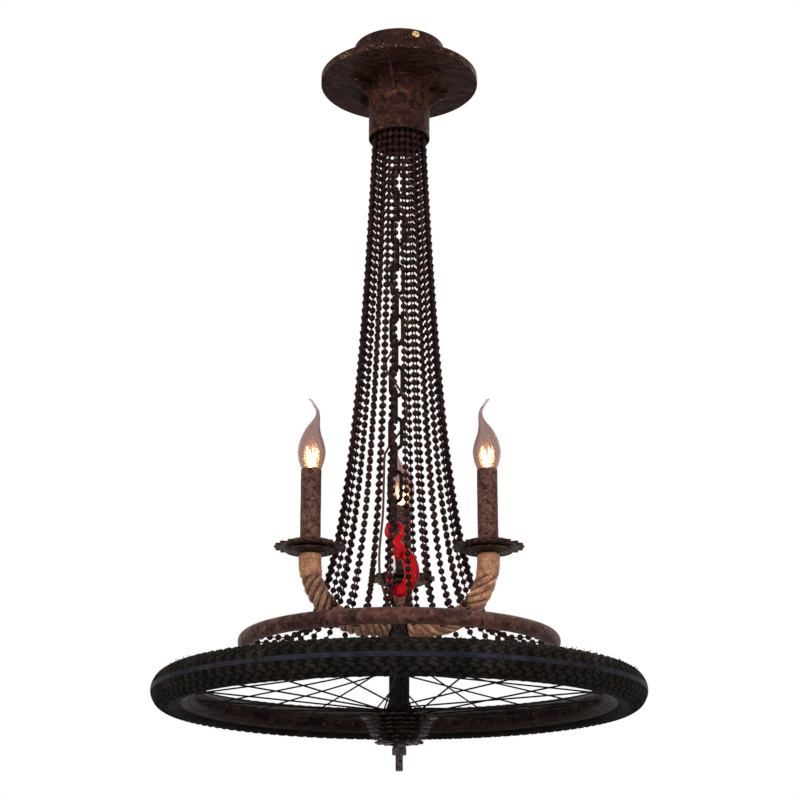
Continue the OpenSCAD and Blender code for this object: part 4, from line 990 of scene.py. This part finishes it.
def tyre_body():
    shape = Shape()
    profile = []
    for i in range(61):
        a = math.radians(-142 + 284 * i / 60)
        wave = CASING_R + CROWN * max(0, math.cos(a)) ** 8
        profile.append((TYRE_R + wave * math.cos(a), WHEEL_Z + wave * math.sin(a)))
    inner = [(TYRE_R + CASING_IN * math.cos(math.radians(a)), WHEEL_Z + CASING_IN * math.sin(math.radians(a)))
             for a in range(140, -141, -10)]
    lip = [(262.5, 13.2), (260, 11.6), (255, 11.4), (255, 9.2), (262.5, 9.0)]
    top = [(r * MM, WHEEL_Z + z * MM) for r, z in lip]
    low = [(r * MM, WHEEL_Z - z * MM) for r, z in lip[::-1]]
    shape.add(*lathe(profile + top + inner + low, 240))
    return shape.make("tyre_casing", M_TYRE, "wheel")


def block(shape, turn, section, long, wide, slant, height):
    """One tread block: a low frustum on the casing, its long side slanted to the tyre's run."""
    corners = []
    c, s = math.cos(slant), math.sin(slant)
    for level, shrink in ((-0.0003, 1.0), (height * 0.75, 0.9), (height, 0.72)):
        for u, v in ((-1, -1), (1, -1), (1, 1), (-1, 1)):
            x = u * long / 2 * shrink
            y = v * wide / 2 * shrink
            along = x * c - y * s
            across = x * s + y * c
            corners.append(tyre_point(turn + along / (TYRE_R + CASING_R), section + across / CASING_R,
                                      CASING_R + level))
    shape.add(corners, [(8, 9, 10, 11)] + quads(0, 4, 4) + quads(4, 8, 4))


def tread():
    shape = Shape()
    count = 126
    for i in range(count):
        turn = TAU * i / count
        for way in (-1, 1):
            for degrees, long, wide, slant, height, shift in TREAD_ROWS:
                here = turn + TAU / count * shift
                block(shape, here, way * math.radians(degrees), long, wide, way * slant, height)
    obj = shape.make("tyre_tread", M_TREAD, "wheel", smooth=False)


def tyre_band():
    """The smooth band round the tyre's middle, its edges sunk in the casing; its lighter bluish colour is a
    painted reflection of light from above.
    """
    shape = Shape()
    low = CASING_R - 0.0008
    edges = (0, 12)
    skin = [(CASING_R + (-0.0004 if i in edges else 0.0011), math.radians(-9 + 1.5 * i)) for i in range(13)]
    under = [(low, math.radians(8 - 4 * i)) for i in range(5)]
    profile = [(TYRE_R + r * math.cos(a), WHEEL_Z + r * math.sin(a)) for r, a in skin + under]
    shape.add(*lathe(profile, 240))
    obj = shape.make("tyre_centre_band", M_BAND_PAINTED_REFLECTION, "wheel")


def whiskers():
    """Thin rubber hairs that the mould left on the tyre's upper side."""
    shape = Shape()
    for i in range(170):
        turn = rng.uniform(0, TAU)
        section = math.radians(rng.uniform(55, 84))
        p = np.array(tyre_point(turn, section, CASING_R))
        q = np.array(tyre_point(turn + rng.normal(0, 0.004), section + rng.normal(0, 0.06),
                                CASING_R + rng.uniform(0.0016, 0.0034)))
        shape.add(*tube([p, (p + q) / 2, q], [0.0005, 0.0004, 0.0003], 4))
    obj = shape.make("tyre_whiskers", M_TYRE, "wheel")


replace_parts(tyre_body(), "tyre")
tread()
tyre_band()
whiskers()


# Candle pans: a shallow pressed dish with a rolled edge and ridges, under each disc
def pan_dishes():
    shape = Shape()
    under = [(29.6, -714.4), (30.4, -715.2), (30.4, -716.2), (29.5, -717.0), (28.2, -716.9), (27.2, -716.3),
             (25.6, -716.4), (24.4, -717.2), (22.9, -717.3), (21.6, -716.6), (19.6, -716.7), (18.2, -717.9),
             (16.6, -718.0), (14.2, -717.2)]
    upper = [(14.2, -716.0), (28.0, -715.6)]
    profile = [(r * MM, z * MM) for r, z in under + upper]
    for turn in ARM_TURNS:
        shape.add(*lathe(profile, 64, centre=candle(turn)))
    obj = shape.make("pan_dishes", M_PAN)


pan_dishes()


# Rim with sloping sides, and nipples that reach its inner wall
RIM_LINE = [(248, 5.5), (248.6, 7.2), (251, 9.4), (256, 11.6), (260.5, 13.8), (263.4, 14.9), (265.6, 14.6),
            (266.2, 13.4), (265.4, 12.4)]
RIM_BED = [(262.8, -12.2), (262.5, -9), (257, -7.5), (256, 0), (257, 7.5), (262.5, 9), (262.8, 12.2)]
SPOKES = 18
CROSSES = 3
SPOKE_FOOT_R = 20.5
SPOKE_TIP_R = 239
SPOKE_TIP_Z = 2.5
# Heights of the hub's flanges, and how far a spoke's foot stands off a flange's middle
FLANGES = (32, -20.5)
FOOT_SIDE = 2.8
# An outer spoke starts higher by what it sinks over this run, to clear the flange's edge
SPOKE_RUN = 7
WALL_R = 237
# A nipple along its spoke from the tip: distance and radius
NIPPLE_LINE = [(-11, 2.9), (-9.2, 2.7), (-8.6, 2.0), (1, 1.9), (4, 1.4)]


def rim():
    lower = [(r, -z) for r, z in RIM_LINE]
    upper = RIM_LINE[::-1]
    v, f = lathe([(r * MM, WHEEL_Z + z * MM) for r, z in lower + RIM_BED + upper], 240)
    obj = make("rim_ring", v, f, M_RIM, "wheel")
    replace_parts(obj, "rim")


def nipples():
    """Each on the line of its spoke, from the foot on the hub's flange to the rim."""
    shape = Shape()
    step = 360 / SPOKES
    for flange, level in enumerate(FLANGES):
        for k in range(SPOKES):
            way = 1 if k % 2 == 0 else -1
            outer = way == (1 if flange == 0 else -1)
            side = FOOT_SIDE + (SPOKE_RUN * abs(level) / WALL_R if outer else 0)
            turn = math.radians((k + flange / 2) * step)
            tip_turn = turn + way * CROSSES * math.radians(step)
            foot = np.array([SPOKE_FOOT_R * math.cos(turn), SPOKE_FOOT_R * math.sin(turn),
                             level + way * side])
            tip = np.array([SPOKE_TIP_R * math.cos(tip_turn), SPOKE_TIP_R * math.sin(tip_turn),
                            SPOKE_TIP_Z if flange == 0 else -SPOKE_TIP_Z])
            u = (foot - tip) / np.linalg.norm(foot - tip)
            path = [(tip + u * t) * MM + np.array([0, 0, WHEEL_Z]) for t, r in NIPPLE_LINE]
            shape.add(*tube(path, np.array([r for t, r in NIPPLE_LINE]) * MM, 10))
    obj = shape.make("nipple_ends", M_NIPPLE, "wheel")
    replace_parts(obj, "spoke_nipples")


rim()
nipples()


# Axle: a threaded lower end with a worn, chamfered edge
AXLE_R = 4.75 * MM
THREAD_ROOT = 4.2 * MM
THREAD_PITCH = 1.1 * MM
AXLE_LOW = -972 * MM
THREAD_TOP = -953.5 * MM
AXLE_TOP = -800.2 * MM


def axle():
    r = AXLE_R
    z = AXLE_LOW
    worn = [(r - 1.7 * MM, z), (r - 0.9 * MM, z), (r - 0.2 * MM, z + 0.8 * MM), (r - 1.7 * MM, z + 0.8 * MM)]
    v, f = lathe(worn, 32)
    obj = make("axle_chamfer", v, f, M_WORN)
    z = -971.9 * MM
    profile = [(0.0003, z), (r - 0.9 * MM, z), (r - 0.3 * MM, z + 0.5 * MM)]
    while z < THREAD_TOP:
        profile += [(r, z + 0.9 * MM), (THREAD_ROOT, z + 1.45 * MM)]
        z += THREAD_PITCH
    profile += [(r, -952.5 * MM), (r, AXLE_TOP), (0.0003, AXLE_TOP)]
    v, f = lathe(profile, 32, closed=False)
    obj = make("axle_threaded", v, f, M_AXLE)
    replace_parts(obj, "axle")


axle()


# Worn edges: small irregular chips of bright bare metal on the cup, the flange's rim and the neck's mouth;
# they are partly wear and partly painted highlights, glints along these edges
FLANGE_R = 0.106
CUP_R = 0.061
NECK_R = 0.041


def chips():
    """Clusters of chips: count, radius, degrees, spread, lowest, highest and size."""
    shape = Shape()
    stand = 0.00015
    sunk = 0.0003

    def chip(radius, azimuth, z, size):
        corners = rng.randint(4, 7)
        turns = np.sort(rng.uniform(0, TAU, corners))
        low, high = [], []
        for q in turns:
            s = size * rng.uniform(0.5, 1.0)
            a = azimuth + s * math.cos(q) / radius
            h = z + 0.7 * s * math.sin(q)
            for r, rows in ((radius - sunk, low), (radius + stand, high)):
                rows.append((r * math.cos(a), r * math.sin(a), h))
        faces = [tuple(range(corners, 2 * corners)), tuple(range(corners))[::-1]]
        shape.add(low + high, faces + quads(0, corners, corners))

    def cluster(count, radius, degrees, spread, low, high, size):
        for i in range(count):
            azimuth = math.radians(rng.uniform(degrees - spread, degrees + spread))
            chip(radius, azimuth, rng.uniform(low, high), rng.uniform(0.35, 1) * size)

    cluster(34, FLANGE_R, 266, 19, -0.0535, -0.0465, 0.0011)
    cluster(26, FLANGE_R, 227, 6, -0.0535, -0.0455, 0.0011)
    cluster(16, FLANGE_R, 315, 6, -0.0535, -0.0455, 0.0010)
    cluster(60, FLANGE_R, 270, 180, -0.0538, -0.0445, 0.0007)
    cluster(10, CUP_R, 270, 60, -0.03, -0.004, 0.0007)
    # A ring of bright chips round the neck's mouth: partly painted highlights along that edge.
    cluster(14, NECK_R, 270, 80, -0.125, -0.06, 0.0007)
    cluster(90, NECK_R, 270, 180, -0.1347, -0.1325, 0.0009)
    obj = shape.make("chips_and_glints", M_CHIP, smooth=False)


chips()


# Candle sleeves: a slightly uneven card tube with a wavy upper edge
SLEEVE_FOOT = -0.7046


def sleeve_pieces():
    sides = 56
    for side, turn in zip(SIDES, ARM_TURNS):
        cx, cy, level = candle(turn)
        phase = rng.uniform(0, TAU, 3)
        verts = []
        rows = [(0, 12.55)] + [(s, 12.6) for s in np.linspace(0.02, 0.98, 24)] + [(1, 12.4), (1, 11.7)]
        rows += [(s, 11.5) for s in np.linspace(0.97, 0.03, 6)] + [(0, 11.6)]
        for s, r in rows:
            for k in range(sides):
                q = TAU * k / sides
                top = SLEEVE_TOP - 0.0007 + 0.0006 * math.sin(5 * q + phase[0]) * math.sin(2 * q + phase[1])
                z = SLEEVE_FOOT + s * (top - SLEEVE_FOOT)
                rr = (r + 0.12 * math.sin(3 * q + 6 * s + phase[2]) * math.sin(9 * s + phase[0])) * MM
                verts.append((cx + rr * math.cos(q), cy + rr * math.sin(q), z))
        obj = make("candle_sleeve_" + side, verts, ring_faces(len(rows), sides, closed=True), M_SLEEVE)
        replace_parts(obj, "sleeve_" + side)


sleeve_pieces()


# Surroundings and light: white where something is seen, a faint light elsewhere, and a floor far below
def seen(tree):
    """1 for what the camera sees, also in a reflection or through glass; 0 for what only gives light."""
    path = tree.nodes.new("ShaderNodeLightPath")
    value = path.outputs["Is Camera Ray"]
    for other in ("Is Glossy Ray", "Is Transmission Ray"):
        node = tree.nodes.new("ShaderNodeMath")
        node.operation = "MAXIMUM"
        tree.links.new(value, node.inputs[0])
        tree.links.new(path.outputs[other], node.inputs[1])
        value = node.outputs[0]
    return value


def world():
    w = bpy.data.worlds.new("studio")
    bpy.context.scene.world = w
    w.use_nodes = True
    tree = w.node_tree
    tree.nodes.clear()
    out = tree.nodes.new("ShaderNodeOutputWorld")
    pick = tree.nodes.new("ShaderNodeMixShader")
    tree.links.new(seen(tree), pick.inputs[0])
    for i, colour, strength in ((1, (1.0, 0.93, 0.90, 1), 0.2), (2, (1, 1, 1, 1), 1)):
        light = tree.nodes.new("ShaderNodeBackground")
        light.inputs[0].default_value = colour
        light.inputs[1].default_value = strength
        tree.links.new(light.outputs[0], pick.inputs[i])
    tree.links.new(pick.outputs[0], out.inputs[0])


world()


def floor():
    m, tree, shader = new_material("floor")
    put(tree, shader, {"Base Color": (0.93, 0.93, 0.93, 1), "Roughness": 0.9,
                       "Emission Color": (0.45, 0.45, 0.45, 1), "Emission Strength": seen(tree)})
    size = 9
    z = -3.6
    corners = [(-size, -size, z), (size, -size, z), (size, size, z), (-size, size, z)]
    obj = make("floor", corners, [(0, 1, 2, 3)], m, None, False)


floor()


def lamp(name, place, aim, size, power, colour=(1, 1, 1), height=None):
    """A square lamp, or one of another height, that faces the point aim."""
    data = bpy.data.lights.new(name, "AREA")
    data.shape = "RECTANGLE"
    data.size = size
    data.size_y = height or size
    data.energy = power
    data.color = colour
    obj = bpy.data.objects.new(name, data)
    obj.location = place
    direction = np.array(aim, float) - np.array(place, float)
    obj.rotation_mode = "QUATERNION"
    obj.rotation_quaternion = Vector(direction).to_track_quat("-Z", "Y")
    bpy.context.scene.collection.objects.link(obj)


lamp("key", (-1.6, -2.3, 0.2), (0, 0, -0.5), 1.1, 45, (1.0, 0.96, 0.93))
lamp("fill", (2.0, -1.8, -0.5), (0, 0, -0.6), 1.1, 25, (1.0, 0.96, 0.93))
lamp("top", (0.3, 0.6, 0.9), (0, 0, -0.7), 1.6, 10)
lamp("low", (0, -1.6, -1.6), (0, 0, -0.8), 1.2, 4)
lamp("back", (1.0, 1.7, 1.4), (0, 0, -0.6), 1.2, 9)
lamp("strip_right", (1.5, -1.3, -0.2), (0, 0, -0.6), 0.035, 6, height=1.0)
lamp("strip_left", (-1.5, -1.5, -0.4), (0, 0, -0.6), 0.035, 5, height=0.7)

view = bpy.context.scene.view_settings
view.view_transform = "Standard"
